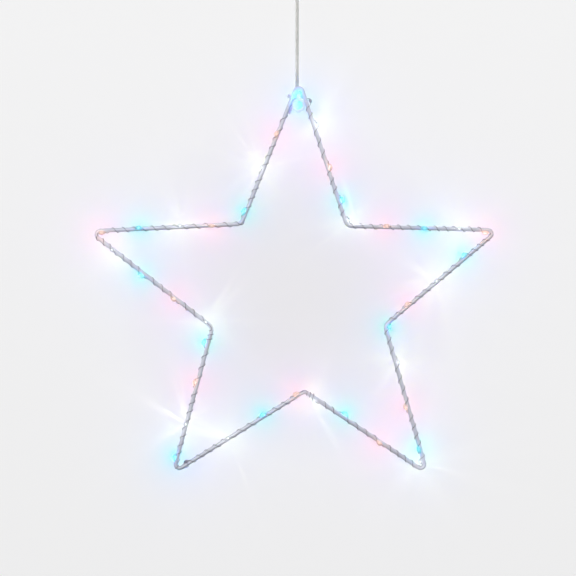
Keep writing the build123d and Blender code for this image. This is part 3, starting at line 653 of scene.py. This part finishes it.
def held_run(distance, way):
    """How far from an LED the wire keeps its side: past a bend close by, or else a short straight run."""
    for middle in bend_middles:
        ahead = (middle - distance) * way
        if 0 <= ahead < BEND_NEAR:
            return ahead + BEND_PAST
    return LED_STRAIGHT_RUN


def wound_line(first, last):
    """Points along the wire from one knot to another: turns between LEDs and a straight run past each."""
    points = []
    for number in range(first, last):
        (start, start_turned), (end, end_turned) = knots[number], knots[number + 1]
        to_splice = number + 2 == len(knots)
        run_in = start + held_run(start, 1)
        run_out = end if to_splice else end - held_run(end, -1)
        turned_by = end_turned - start_turned
        steps = max(FEWEST_STEPS, round((turned_by * WINDING_RADIUS + end - start) / WINDING_STEP))
        count = steps + 1 if number + 1 == last else steps
        for step in range(count):
            distance = start + (end - start) * step / steps
            share = min(max((distance - run_in) / (run_out - run_in), 0), 1)
            reach = wire_reach(distance - start)
            if not to_splice:
                reach = max(reach, wire_reach(end - distance))
            points.append(beside_frame(distance, reach, -start_turned - turned_by * eased(share)))
    return points


enamel_painted_shade = wire_enamel_painted_shade()
cuts = [0] + list(range(FIRST_WINDING_LEDS, len(leds), WINDING_LEDS)) + [len(leds)]
for number, (first, last) in enumerate(zip(cuts, cuts[1:]), start=1):
    wire = Builder()
    for strand in twisted(wound_line(first, last), STRAND_OFFSET, STRAND_TWIST):
        wire.tube(strand, STRAND_RADIUS, sides=7)
    piece = wire.make(f"led_pair_{number}", "star", [enamel_painted_shade], "led_wire_enamel")
    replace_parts(piece, f"led_wire_{number}")


# Resin drops, the chips in them and the light that each LED casts
def drop_shape(distance, side, girth):
    """Points and radii of one drop, which follows the wire and thins on to it at both ends."""
    half_length = DROP_HALF_LENGTH * girth * random.uniform(*LENGTH_RANGE)
    fullness = DROP_RADIUS * girth * random.uniform(*FULLNESS_RANGE)
    lean = random.uniform(*LEAN_RANGE)
    points, radii = [], []
    for step in range(DROP_STEPS + 1):
        share = -math.cos(math.pi * step / DROP_STEPS)
        offset = share * half_length
        reach = wire_reach(offset) + DROP_LIFT * (1 - share * share)
        points.append(beside_frame(distance + offset, reach, side))
        inward = 1 - abs(share)
        leant = abs((share - lean * inward) / BELLY_REACH)
        belly = max(0.0, 1 - leant ** BELLY_CURVE) ** BELLY_ROUNDNESS * fullness
        radii.append(max(belly, DROP_TAIL_RADIUS + DROP_TAIL_SWELL * inward ** DROP_TAIL_CURVE))
    return points, radii


def add_chip(chips, distance, side):
    """A small flat LED: its body, its lit face and a joint of solder at each end."""
    centre, along, outward = frame_axes(distance)
    away = outward * math.sin(side) + FRONT * math.cos(side)
    axes = (along, away.cross(along), away)
    middle = centre + away * (wire_reach(0) + CHIP_LIFT)
    chips.block(middle - away * CHIP_BODY_SINK, axes, CHIP_BODY, CHIP_BODY_BEVEL)
    chips.block(middle + away * CHIP_FACE_RISE, axes, CHIP_FACE, CHIP_FACE_BEVEL, slot=1)
    for end in [-1, 1]:
        joint = middle + along * (SOLDER_REACH * end) - away * SOLDER_SINK
        chips.lathe(SOLDER_PROFILE, joint, axes[1], sides=10, slot=2)


led_lamps, pool_lamps, lit_pieces = [], [], []


def add_lamp(kind, place, colour, power, kept):
    """A small lamp that faces the wall and moves with the star."""
    light = bpy.data.lights.new("led_light", kind)
    light.color = colour
    light.energy = power
    if kind == "AREA":
        light.shape = "DISK"
        light.size = LAMP_SIZE * MM
    else:
        light.shadow_soft_size = POINT_RADIUS * MM
    lamp = placed("led_light", light)
    lamp.location = place * MM
    lamp.rotation_euler = (math.pi / 2, 0, 0)
    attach(lamp, "star")
    kept.append(lamp)


def before_film(place, spread):
    """The place straight before a point of the film from which a lamp's pool has this spread."""
    return Vector((place.x, FILM_BACK - spread, place.z))


def add_pools(place, pools):
    """Lamps for an LED's pools on the wall, in which spread and brightness at the middle set the watts."""
    for spread, brightness in pools:
        for sign in [1, -1]:
            channels = [max(0.0, sign * value) for value in brightness]
            if any(channels):
                colour = [value / max(channels) for value in channels]
                power = sign * max(channels) * (math.pi * spread * MM) ** 2 / FILM_WHITE
                add_lamp("AREA", before_film(place, spread), colour, power, pool_lamps)


def pool_middle(distance, side, at_top):
    """Middle of an LED's pool on the wall, which in the top point is lower than the LED."""
    down = Vector((0, 0, -TOP_SHIFT)) if at_top else Vector((0, 0, 0))
    return beside_frame(distance, wire_reach(0), side) + down


def add_rays(lamp, seed):
    """Breaks a lamp's light into fine rays, as a ripple in the resin throws them on the wall."""
    light = lamp.data
    light.use_nodes = True
    tree = light.node_tree
    direction = tree.nodes.new("ShaderNodeTexCoord").outputs["Normal"]
    flat = tree.nodes.new("ShaderNodeVectorMath")
    flat.operation = "MULTIPLY"
    flat.inputs[1].default_value = (1, 1, 0)
    tree.links.new(direction, flat.inputs[0])
    round_axis = tree.nodes.new("ShaderNodeVectorMath")
    round_axis.operation = "NORMALIZE"
    tree.links.new(flat.outputs["Vector"], round_axis.inputs[0])
    ripple = tree.nodes.new("ShaderNodeTexNoise")
    ripple.noise_dimensions = "4D"
    ripple.inputs["W"].default_value = seed
    ripple.inputs["Scale"].default_value = RAY_SCALE
    ripple.inputs["Detail"].default_value = 0.0
    tree.links.new(round_axis.outputs["Vector"], ripple.inputs["Vector"])
    rays = share_between(tree, ripple.outputs[0], RAY_LOW, RAY_HIGH)
    tree.links.new(rays.outputs[0], tree.nodes["Emission"].inputs["Strength"])


ceramic = chip_ceramic()
solder = solder_metal()
for colour, look in LED_LOOKS.items():
    drops, chips = Builder(), Builder()
    for distance, side, led_colour in leds:
        if led_colour == colour:
            drops.tube(*drop_shape(distance, side, look["girth"]), sides=16)
            add_chip(chips, distance, side)
            at_top = abs(distance) < TOP_RUN
            place = beside_frame(distance, wire_reach(0) + LAMP_LIFT, side)
            gain = look["gain"] if at_top else 1
            add_lamp("POINT", place, look["cast"], look["power"] * gain, led_lamps)
            add_pools(pool_middle(distance, side, at_top), look["pools"] + [HAZE])
            if look["rays"]:
                rays_place = before_film(place, RAY_SPREAD)
                add_lamp("POINT", rays_place, RAY_COLOUR, look["rays"] / FILM_WHITE, pool_lamps)
                add_rays(pool_lamps[-1], seed=random.uniform(0, 10))
    piece = drops.make(f"clear_drops_{colour}", "star", [drop_resin(colour)], f"resin_{colour}")
    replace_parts(piece, f"resin_drops_{colour}")
    lit_pieces.append(piece)
    chip_materials = [ceramic, chip_light(colour), solder]
    piece = chips.make(f"chip_set_{colour}", "star", chip_materials, f"chip_{colour}")
    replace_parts(piece, f"led_chips_{colour}")
    lit_pieces.append(piece)


# Frame and ring, with the weld beads that join them
def paint_node(node, material):
    """Gives one CAD node a single material."""
    mesh = nodes[node].data
    mesh.materials.clear()
    mesh.materials.append(material)
    mesh.polygons.foreach_set("material_index", [0] * len(mesh.polygons))


ring_finish_painted_cyan_light = ring_lacquer_painted_cyan_light()
paint_node("star_frame", frame_lacquer())
paint_node("hanging_ring", ring_finish_painted_cyan_light)
# The weld beads take the ring's lacquer, with its painted cyan light.
beads = Builder()
for leg in [left_leg, right_leg]:
    seat = top_corner + leg * (ring_reach * math.cos(half_tip_angle))
    inward = (ring_centre - seat).normalized()
    for rise, radius in WELD_BEADS:
        bead = seat + inward * FRAME_RADIUS + leg * rise
        profile = [(radius * math.sin(angle), radius * math.cos(angle)) for angle in BEAD_ANGLES]
        beads.lathe(profile, bead, leg, sides=12)
beads.make("ring_weld_beads", "star", [ring_finish_painted_cyan_light], "ring_steel")


# Lead: a clear round jacket over two tinned cores
def clear_jacket():
    return worn("clear_jacket", (0.64, 0.64, 0.615), (0.72, 0.72, 0.70), 0.20, 260, 1400, 0.00004,
                transmission_weight=0.35, ior=1.42)


def tinned_core():
    """Fine bright strands seen through the jacket."""
    return worn("tinned_core", (0.50, 0.50, 0.48), (0.68, 0.68, 0.65), 0.36, 700, 3800, 0.00005, metallic=0.6)


jacket = clear_jacket()
core = tinned_core()


def add_cable(name, line, body, phase):
    """The jacket and the pair of cores of one length of cable."""
    skin = Builder()
    skin.tube(line, LEAD_RADIUS - JACKET_INSET, sides=20)
    cores = Builder()
    for strand in twisted(line, CORE_OFFSET, CORE_TWIST, phase):
        cores.tube(strand, CORE_RADIUS, sides=10)
    return (skin.make(name, body, [jacket], "lead_jacket"),
            cores.make(f"{name}_cores", body, [core], "lead_jacket"))


lead_heights = [LEAD_TOP, (LEAD_TOP + LEAD_BOTTOM) / 2, LEAD_BOTTOM]
lead_line = smooth_line([Vector((0, 0, height)) for height in lead_heights], resolution=40)
lead, lead_inside = add_cable("lead_cable", lead_line, "lead", CORE_PHASE)
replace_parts(lead, "lead_cord")

tail_reach = FRAME_RADIUS + TAIL_GAP + LEAD_RADIUS
tail_back = math.sqrt(tail_reach ** 2 - TAIL_INSET ** 2)
tie_room = RING_RADIUS + RING_SEAT_GAP - TIE_GAP - TIE_BAND
ring_bulge = math.sqrt(RING_RADIUS ** 2 - tie_room ** 2)
tie_reach = ring_reach * math.cos(half_tip_angle) - ring_bulge - TIE_RING_GAP - TIE_WIDTH / 2


def beside_left_leg(reach):
    """A point of the tail's route, behind and inside the left leg, at a reach down it from its corner."""
    return top_corner + left_leg * reach - left_outward * TAIL_INSET - FRONT * tail_back


tail_points = [
    Vector((0, 0, LEAD_BOTTOM)),
    Vector((0, 0, LEAD_BOTTOM - TAIL_LEAD_IN)),
    Vector((0, tail_reach, STAR_TOP + FRAME_RADIUS / 2)),
    beside_left_leg(tie_reach - TIE_WIDTH / 2 - TAIL_STRAIGHT_RUN),
    beside_left_leg(SPLICE_REACH + SPLICE_LENGTH / 2 - TAIL_END_INSET),
]
tail_line = smooth_line(tail_points, resolution=16)
end_phase = CORE_PHASE + 2 * math.pi * (LEAD_TOP - LEAD_BOTTOM) / CORE_TWIST
tail = add_cable("lead_tail_cable", tail_line, "star", end_phase)[0]
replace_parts(tail, "lead_tail")


# Shrink sleeve over the splice, drawn in at both ends and slightly rippled
def sleeve_plastic_painted_light():
    # Painted light: the lilac is made pale to stand in for light where the sleeve sits in shade, behind and
    # inside the left leg.
    return worn("sleeve_plastic_painted_light", (0.72, 0.66, 0.90), (0.82, 0.77, 0.97), 0.36, 500, 2200, 0.00008)


sleeve = Builder()
sleeve_points, sleeve_radii = [], []
for step in range(2 * SLEEVE_HALF_STEPS + 1):
    share = step / SLEEVE_HALF_STEPS - 1
    sleeve_points.append(beside_left_leg(SPLICE_REACH + share * SPLICE_LENGTH / 2))
    ripple = RIPPLE_DEPTH * math.sin(share * RIPPLE_RATE) * (1 - share * share)
    drawn_in = SLEEVE_INSET + SLEEVE_DRAWN_IN * share ** SLEEVE_DRAW_CURVE
    sleeve_radii.append(LEAD_RADIUS + SPLICE_WALL - drawn_in + ripple)
sleeve.tube(sleeve_points, sleeve_radii, sides=20)
piece = sleeve.make("splice_shrink_sleeve", "star", [sleeve_plastic_painted_light()], "shrink_sleeve")
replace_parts(piece, "splice_sleeve")


# Cable tie: a toothed band round the frame and the tail, its head and its cut end
def tie_nylon_painted_blue_light():
    # Painted light: the nylon is made pale blue to stand in for the LEDs' cyan light that falls on the tie.
    return worn("tie_nylon_painted_blue_light", (0.54, 0.59, 0.76), (0.62, 0.67, 0.82), 0.30, 400, 2600, 0.00004,
                transmission_weight=0.15, ior=1.4)


def tie_outline(grow):
    """Points round the frame and the tail, as a taut band lies on them, in the tie's own plane."""
    tail_place = Vector((-TAIL_INSET, tail_back))
    turn = math.atan2(tail_place.y, tail_place.x)
    frame_band, tail_band = FRAME_RADIUS + grow, LEAD_RADIUS + grow
    lean = math.acos((frame_band - tail_band) / tail_place.length)
    points = []
    for middle, radius, start, span in [
        ((0, 0), frame_band, turn + lean, 2 * math.pi - 2 * lean),
        (tail_place, tail_band, turn - lean, 2 * lean),
    ]:
        for step in range(TIE_ARC_STEPS + 1):
            angle = start + span * step / TIE_ARC_STEPS
            points.append((middle[0] + radius * math.cos(angle), middle[1] + radius * math.sin(angle)))
    return points


tie_centre = top_corner + left_leg * tie_reach
tie = Builder()
loops = []
inner, outer = tie_outline(TIE_GAP), tie_outline(TIE_GAP + TIE_BAND)
inner_half = TIE_WIDTH / 2
outer_half = inner_half * TIE_OUTER_SHARE
for number, (near, far) in enumerate(zip(inner, outer)):
    reach = 1 - TIE_TOOTH_SHARE * (number % 2)
    edges = []
    for share, level in [(0, -inner_half), (0, inner_half), (reach, outer_half), (reach, -outer_half)]:
        across = near[0] + (far[0] - near[0]) * share
        back = near[1] + (far[1] - near[1]) * share
        edges.append(tie_centre + left_outward * across - FRONT * back + left_leg * level)
    loops.append(edges)
tie.rings(loops, closed=True)
head_axes = (left_leg, FRONT, left_outward)
head_start = FRAME_RADIUS + TIE_GAP + TIE_BAND / 2
head_depth = TIE_HEAD_DEPTH - TIE_BAND / 2
head_centre = tie_centre + left_outward * (head_start + head_depth / 2)
tie.block(head_centre, head_axes, (TIE_HEAD, TIE_HEAD, head_depth), TIE_HEAD_BEVEL)
tie.block(head_centre + FRONT * (TIE_HEAD / 2), head_axes, TIE_END, TIE_END_BEVEL)
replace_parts(tie.make("tie_band_and_head", "star", [tie_nylon_painted_blue_light()], "clear_tie"), "cable_tie")


# Battery box and what is in it
def grained_plastic(name, dark, light, roughness=0.42):
    """Moulded plastic with a spark-eroded grain."""
    return worn(name, dark, light, roughness, 45, 2600, 0.00004, specular_ior_level=0.45)


def nickel_plate():
    return worn("nickel_plate", (0.55, 0.54, 0.50), (0.72, 0.71, 0.67), 0.24, 260, 3000, 0.00003,
                metallic=1.0)


def screw_steel():
    """Zinc-plated steel with turned marks."""
    material = plain("screw_steel", (0.60, 0.60, 0.62), 0.28, metallic=1.0)
    marks = texture(material, "ShaderNodeTexNoise", scale=900, stretch=(1, 6, 1), Detail=3)
    stops = [(0.3, (0.48, 0.48, 0.50)), (0.7, (0.68, 0.68, 0.70))]
    paint(material, "Base Color", ramped(material, marks, stops))
    rough_up(material, texture(material, "ShaderNodeTexNoise", scale=2600, Detail=2), depth=0.00003)
    return material


def board_laminate():
    """Green solder mask over a woven laminate."""
    material = plain("board_laminate", (0.03, 0.20, 0.08), 0.32, coat_weight=0.4)
    weave = texture(material, "ShaderNodeTexWave", scale=900, Distortion=0.6)
    stops = [(0.2, (0.02, 0.16, 0.06)), (0.8, (0.04, 0.24, 0.10))]
    paint(material, "Base Color", ramped(material, weave, stops))
    rough_up(material, weave, depth=0.00003)
    return material


def cell_sleeve(node, nub_up):
    """A bare steel nub end, a copper band and a dark plastic sleeve along one cell."""
    low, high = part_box(node)
    material = plain(f"sleeve_{node}", (0.06, 0.07, 0.09), 0.28, coat_weight=0.3)
    tree = material.node_tree
    coordinates = tree.nodes.new("ShaderNodeTexCoord")
    split = tree.nodes.new("ShaderNodeSeparateXYZ")
    tree.links.new(coordinates.outputs["Object"], split.inputs["Vector"])
    start, end = (low.z, high.z) if nub_up else (high.z, low.z)
    height = share_between(tree, split.outputs["Z"], start, end)
    starts = [0.0, CELL_SLEEVE_START, CELL_COPPER_START, CELL_NUB_START]
    sleeve, copper, steel = (0.035, 0.045, 0.07), (0.62, 0.30, 0.14), (0.62, 0.61, 0.60)
    bands = list(zip(starts, [steel, sleeve, copper, steel]))
    metal = list(zip(starts, [1.0, 0.0, 0.55, 1.0]))
    paint(material, "Base Color", ramped(material, height.outputs[0], bands, "CONSTANT"))
    paint(material, "Metallic", ramped(material, height.outputs[0], metal, "CONSTANT"))
    grain = texture(material, "ShaderNodeTexNoise", scale=900, Detail=2)
    rough_up(material, grain, depth=0.00003, strength=0.3)
    return material


nickel = nickel_plate()
node_finishes = {
    "box_housing": grained_plastic("box_shell", (0.68, 0.68, 0.67), (0.76, 0.76, 0.75)),
    "battery_cover": grained_plastic("cover_shell", (0.71, 0.71, 0.70), (0.79, 0.79, 0.78), 0.38),
    "front_panel": grained_plastic("panel_shell", (0.69, 0.69, 0.68), (0.77, 0.77, 0.76), 0.40),
    "panel_screws": screw_steel(),
    "cord_gland": worn("gland_rubber", (0.50, 0.50, 0.50), (0.60, 0.60, 0.60), 0.55, 120, 1800, 0.00006),
    "cord_stop": worn("stop_plastic", (0.70, 0.71, 0.70), (0.80, 0.81, 0.80), 0.30, 200, 2000, 0.00003,
                      transmission_weight=0.3),
    "circuit_board": board_laminate(),
    "driver_chip": worn("chip_epoxy", (0.015, 0.015, 0.016), (0.03, 0.03, 0.032), 0.5, 800, 5000, 0.00003),
    "board_resistors": worn("resistor_ceramic", (0.02, 0.02, 0.025), (0.06, 0.06, 0.07), 0.35, 1800, 5000,
                            0.00002),
    "switch_body": worn("switch_shell", (0.10, 0.10, 0.10), (0.15, 0.15, 0.15), 0.4, 300, 3000, 0.00003),
    "switch_slider": worn("slider_knob", (0.02, 0.02, 0.02), (0.05, 0.05, 0.05), 0.45, 300, 3000, 0.00003),
    "battery_wire_black": worn("black_insulation", (0.015, 0.015, 0.015), (0.04, 0.04, 0.04), 0.38, 400, 2500,
                               0.00003),
    "battery_wire_red": worn("red_insulation", (0.42, 0.02, 0.02), (0.58, 0.04, 0.03), 0.36, 400, 2500,
                             0.00003),
    "lead_cores": worn("clear_insulation", (0.60, 0.60, 0.58), (0.76, 0.76, 0.74), 0.25, 400, 2500, 0.00003,
                       transmission_weight=0.4),
    "contact_negative": nickel,
    "contact_positive": nickel,
    "contact_link_lower": nickel,
    "contact_link_upper": nickel,
    "contact_springs": nickel,
    "aa_cell_left": cell_sleeve("aa_cell_left", nub_up=True),
    "aa_cell_middle": cell_sleeve("aa_cell_middle", nub_up=False),
    "aa_cell_right": cell_sleeve("aa_cell_right", nub_up=True),
}
for node, finish in node_finishes.items():
    paint_node(node, finish)


# Stage: a pale floor well below, and a clear film behind the star that only catches the LEDs' light
def flat_sheet(name, corner_points, material):
    """A flat piece of the stage with four corners, which throws no light back on the star."""
    mesh = bpy.data.meshes.new(name)
    mesh.from_pydata(corner_points, [], [(0, 1, 2, 3)])
    mesh.materials.append(material)
    sheet = placed(name, mesh)
    sheet.visible_diffuse = False
    return sheet


def seen_itself(tree):
    """One for rays that show a thing, mirrored or through glass too, and zero for those that light others."""
    rays = tree.nodes.new("ShaderNodeLightPath")
    seen = rays.outputs["Is Camera Ray"]
    for kind in ["Is Glossy Ray", "Is Transmission Ray"]:
        seen = linked(tree, "MAXIMUM", seen, rays.outputs[kind])
    return seen


def floor_matte():
    """A pale floor, mostly of one brightness, on which shadows still show."""
    material = plain("floor_matte", (0.08, 0.08, 0.081), 0.9, specular_ior_level=0.1,
                     emission_color=(0.82, 0.82, 0.822))
    paint(material, "Emission Strength", seen_itself(material.node_tree))
    return material


def light_catcher():
    """A see-through surface that adds the light that falls on it, less and less towards its edges."""
    material = bpy.data.materials.new("light_catcher")
    material.use_nodes = True
    tree = material.node_tree
    tree.nodes.remove(tree.nodes["Principled BSDF"])
    clear = tree.nodes.new("ShaderNodeBsdfTransparent")
    matte = tree.nodes.new("ShaderNodeBsdfDiffuse")
    both = tree.nodes.new("ShaderNodeAddShader")
    tree.links.new(clear.outputs[0], both.inputs[0])
    tree.links.new(matte.outputs[0], both.inputs[1])
    tree.links.new(both.outputs[0], tree.nodes["Material Output"].inputs["Surface"])
    place = tree.nodes.new("ShaderNodeTexCoord")
    split = tree.nodes.new("ShaderNodeSeparateXYZ")
    tree.links.new(place.outputs["Object"], split.inputs["Vector"])
    edges = [("X", -FILM_SIDE, 1), ("X", FILM_SIDE, -1), ("Z", FILM_LOW, 1), ("Z", FILM_HIGH, -1)]
    white = None
    for axis, edge, inward in edges:
        fade = share_between(tree, split.outputs[axis], edge, edge + inward * FILM_FADE)
        fade.interpolation_type = "SMOOTHSTEP"
        fade.inputs["To Max"].default_value = 1 if white else FILM_WHITE
        white = linked(tree, "MULTIPLY", white, fade.outputs[0]) if white else fade.outputs[0]
    tree.links.new(white, matte.inputs["Color"])
    return material


floor = flat_sheet("floor", [
    (-FLOOR_REACH, -FLOOR_REACH, FLOOR_HEIGHT), (FLOOR_REACH, -FLOOR_REACH, FLOOR_HEIGHT),
    (FLOOR_REACH, FLOOR_REACH, FLOOR_HEIGHT), (-FLOOR_REACH, FLOOR_REACH, FLOOR_HEIGHT),
], floor_matte())
film = flat_sheet("light_film", [
    (-FILM_SIDE, FILM_BACK * MM, FILM_LOW), (FILM_SIDE, FILM_BACK * MM, FILM_LOW),
    (FILM_SIDE, FILM_BACK * MM, FILM_HIGH), (-FILM_SIDE, FILM_BACK * MM, FILM_HIGH),
], light_catcher())
film.visible_shadow = False
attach(film, "star")


# Studio light leaves out the film, and the light of the LEDs leaves out their own drops and chips, which
# glow by themselves. Only the pool lamps light the film, and nothing but the floor blocks the LEDs' light.
def light_group(name, members, left_out=False):
    """Objects for a lamp to light or be blocked by, or ones for it to leave out."""
    group = bpy.data.collections.new(name)
    for member in members:
        group.objects.link(member)
    if left_out:
        for link in group.collection_objects:
            link.light_linking.link_state = "EXCLUDE"
    return group


beyond_studio = light_group("beyond_studio_light", [film], left_out=True)
beyond_leds = light_group("beyond_led_light", [film] + lit_pieces, left_out=True)
film_only = light_group("film_only", [film])
blockers = light_group("blockers_of_led_light", [floor])
for lamp in led_lamps + pool_lamps:
    lamp.light_linking.receiver_collection = film_only if lamp in pool_lamps else beyond_leds
    lamp.light_linking.blocker_collection = blockers

for name, place, width, power in STUDIO_LAMPS:
    light = bpy.data.lights.new(name, "AREA")
    light.size = width
    light.energy = power
    lamp = placed(name, light)
    lamp.location = place
    lamp.rotation_euler = (STAR_MIDDLE - Vector(place)).to_track_quat("-Z", "Y").to_euler()
    lamp.light_linking.receiver_collection = beyond_studio


def studio_world():
    """A pale backdrop that is seen but gives no light, darker below, with painted shade a little behind the
    star.
    """
    world = bpy.data.worlds.new("studio")
    world.use_nodes = True
    tree = world.node_tree
    backdrop = tree.nodes["Background"]
    tree.links.new(seen_itself(tree), backdrop.inputs["Strength"])
    direction = tree.nodes.new("ShaderNodeTexCoord").outputs["Generated"]
    shade_start = math.cos(math.radians(STAR_SHADE_START_DEGREES))
    shade_full = math.cos(math.radians(STAR_SHADE_FULL_DEGREES))
    shades = []
    for axis, start, end, first, last in [
        ((0, 0, 1), -BACKDROP_SLOPE, BACKDROP_SLOPE, BACKDROP_LOW, BACKDROP_HIGH),
        ((0, 1, 0), shade_start, shade_full, (1, 1, 1), STAR_SHADE),
    ]:
        reach = tree.nodes.new("ShaderNodeVectorMath")
        reach.operation = "DOT_PRODUCT"
        reach.inputs[1].default_value = axis
        tree.links.new(direction, reach.inputs[0])
        span = share_between(tree, reach.outputs["Value"], start, end)
        shade = tree.nodes.new("ShaderNodeValToRGB")
        shade.color_ramp.elements[0].color = (*first, 1)
        shade.color_ramp.elements[1].color = (*last, 1)
        tree.links.new(span.outputs[0], shade.inputs["Fac"])
        shades.append(shade.outputs["Color"])
    product = tree.nodes.new("ShaderNodeVectorMath")
    product.operation = "MULTIPLY"
    tree.links.new(shades[0], product.inputs[0])
    tree.links.new(shades[1], product.inputs[1])
    tree.links.new(product.outputs["Vector"], backdrop.inputs["Color"])
    return world


bpy.context.scene.world = studio_world()

# Camera, straight in front as in the photograph
camera = bpy.data.cameras.new("camera")
camera.lens = LENS
camera.sensor_width = SENSOR_WIDTH
eye = placed("camera", camera)
eye.location = (
    (PHOTO_PIXELS / 2 - STAR_AXIS_PIXEL) * PIXEL,
    -PHOTO_PIXELS * PIXEL * LENS / SENSOR_WIDTH,
    STAR_TOP * MM - (PHOTO_PIXELS / 2 - STAR_TOP_PIXEL) * PIXEL,
)
eye.rotation_euler = (math.pi / 2, 0, 0)
bpy.context.scene.camera = eye
bpy.context.scene.view_settings.view_transform = "Standard"
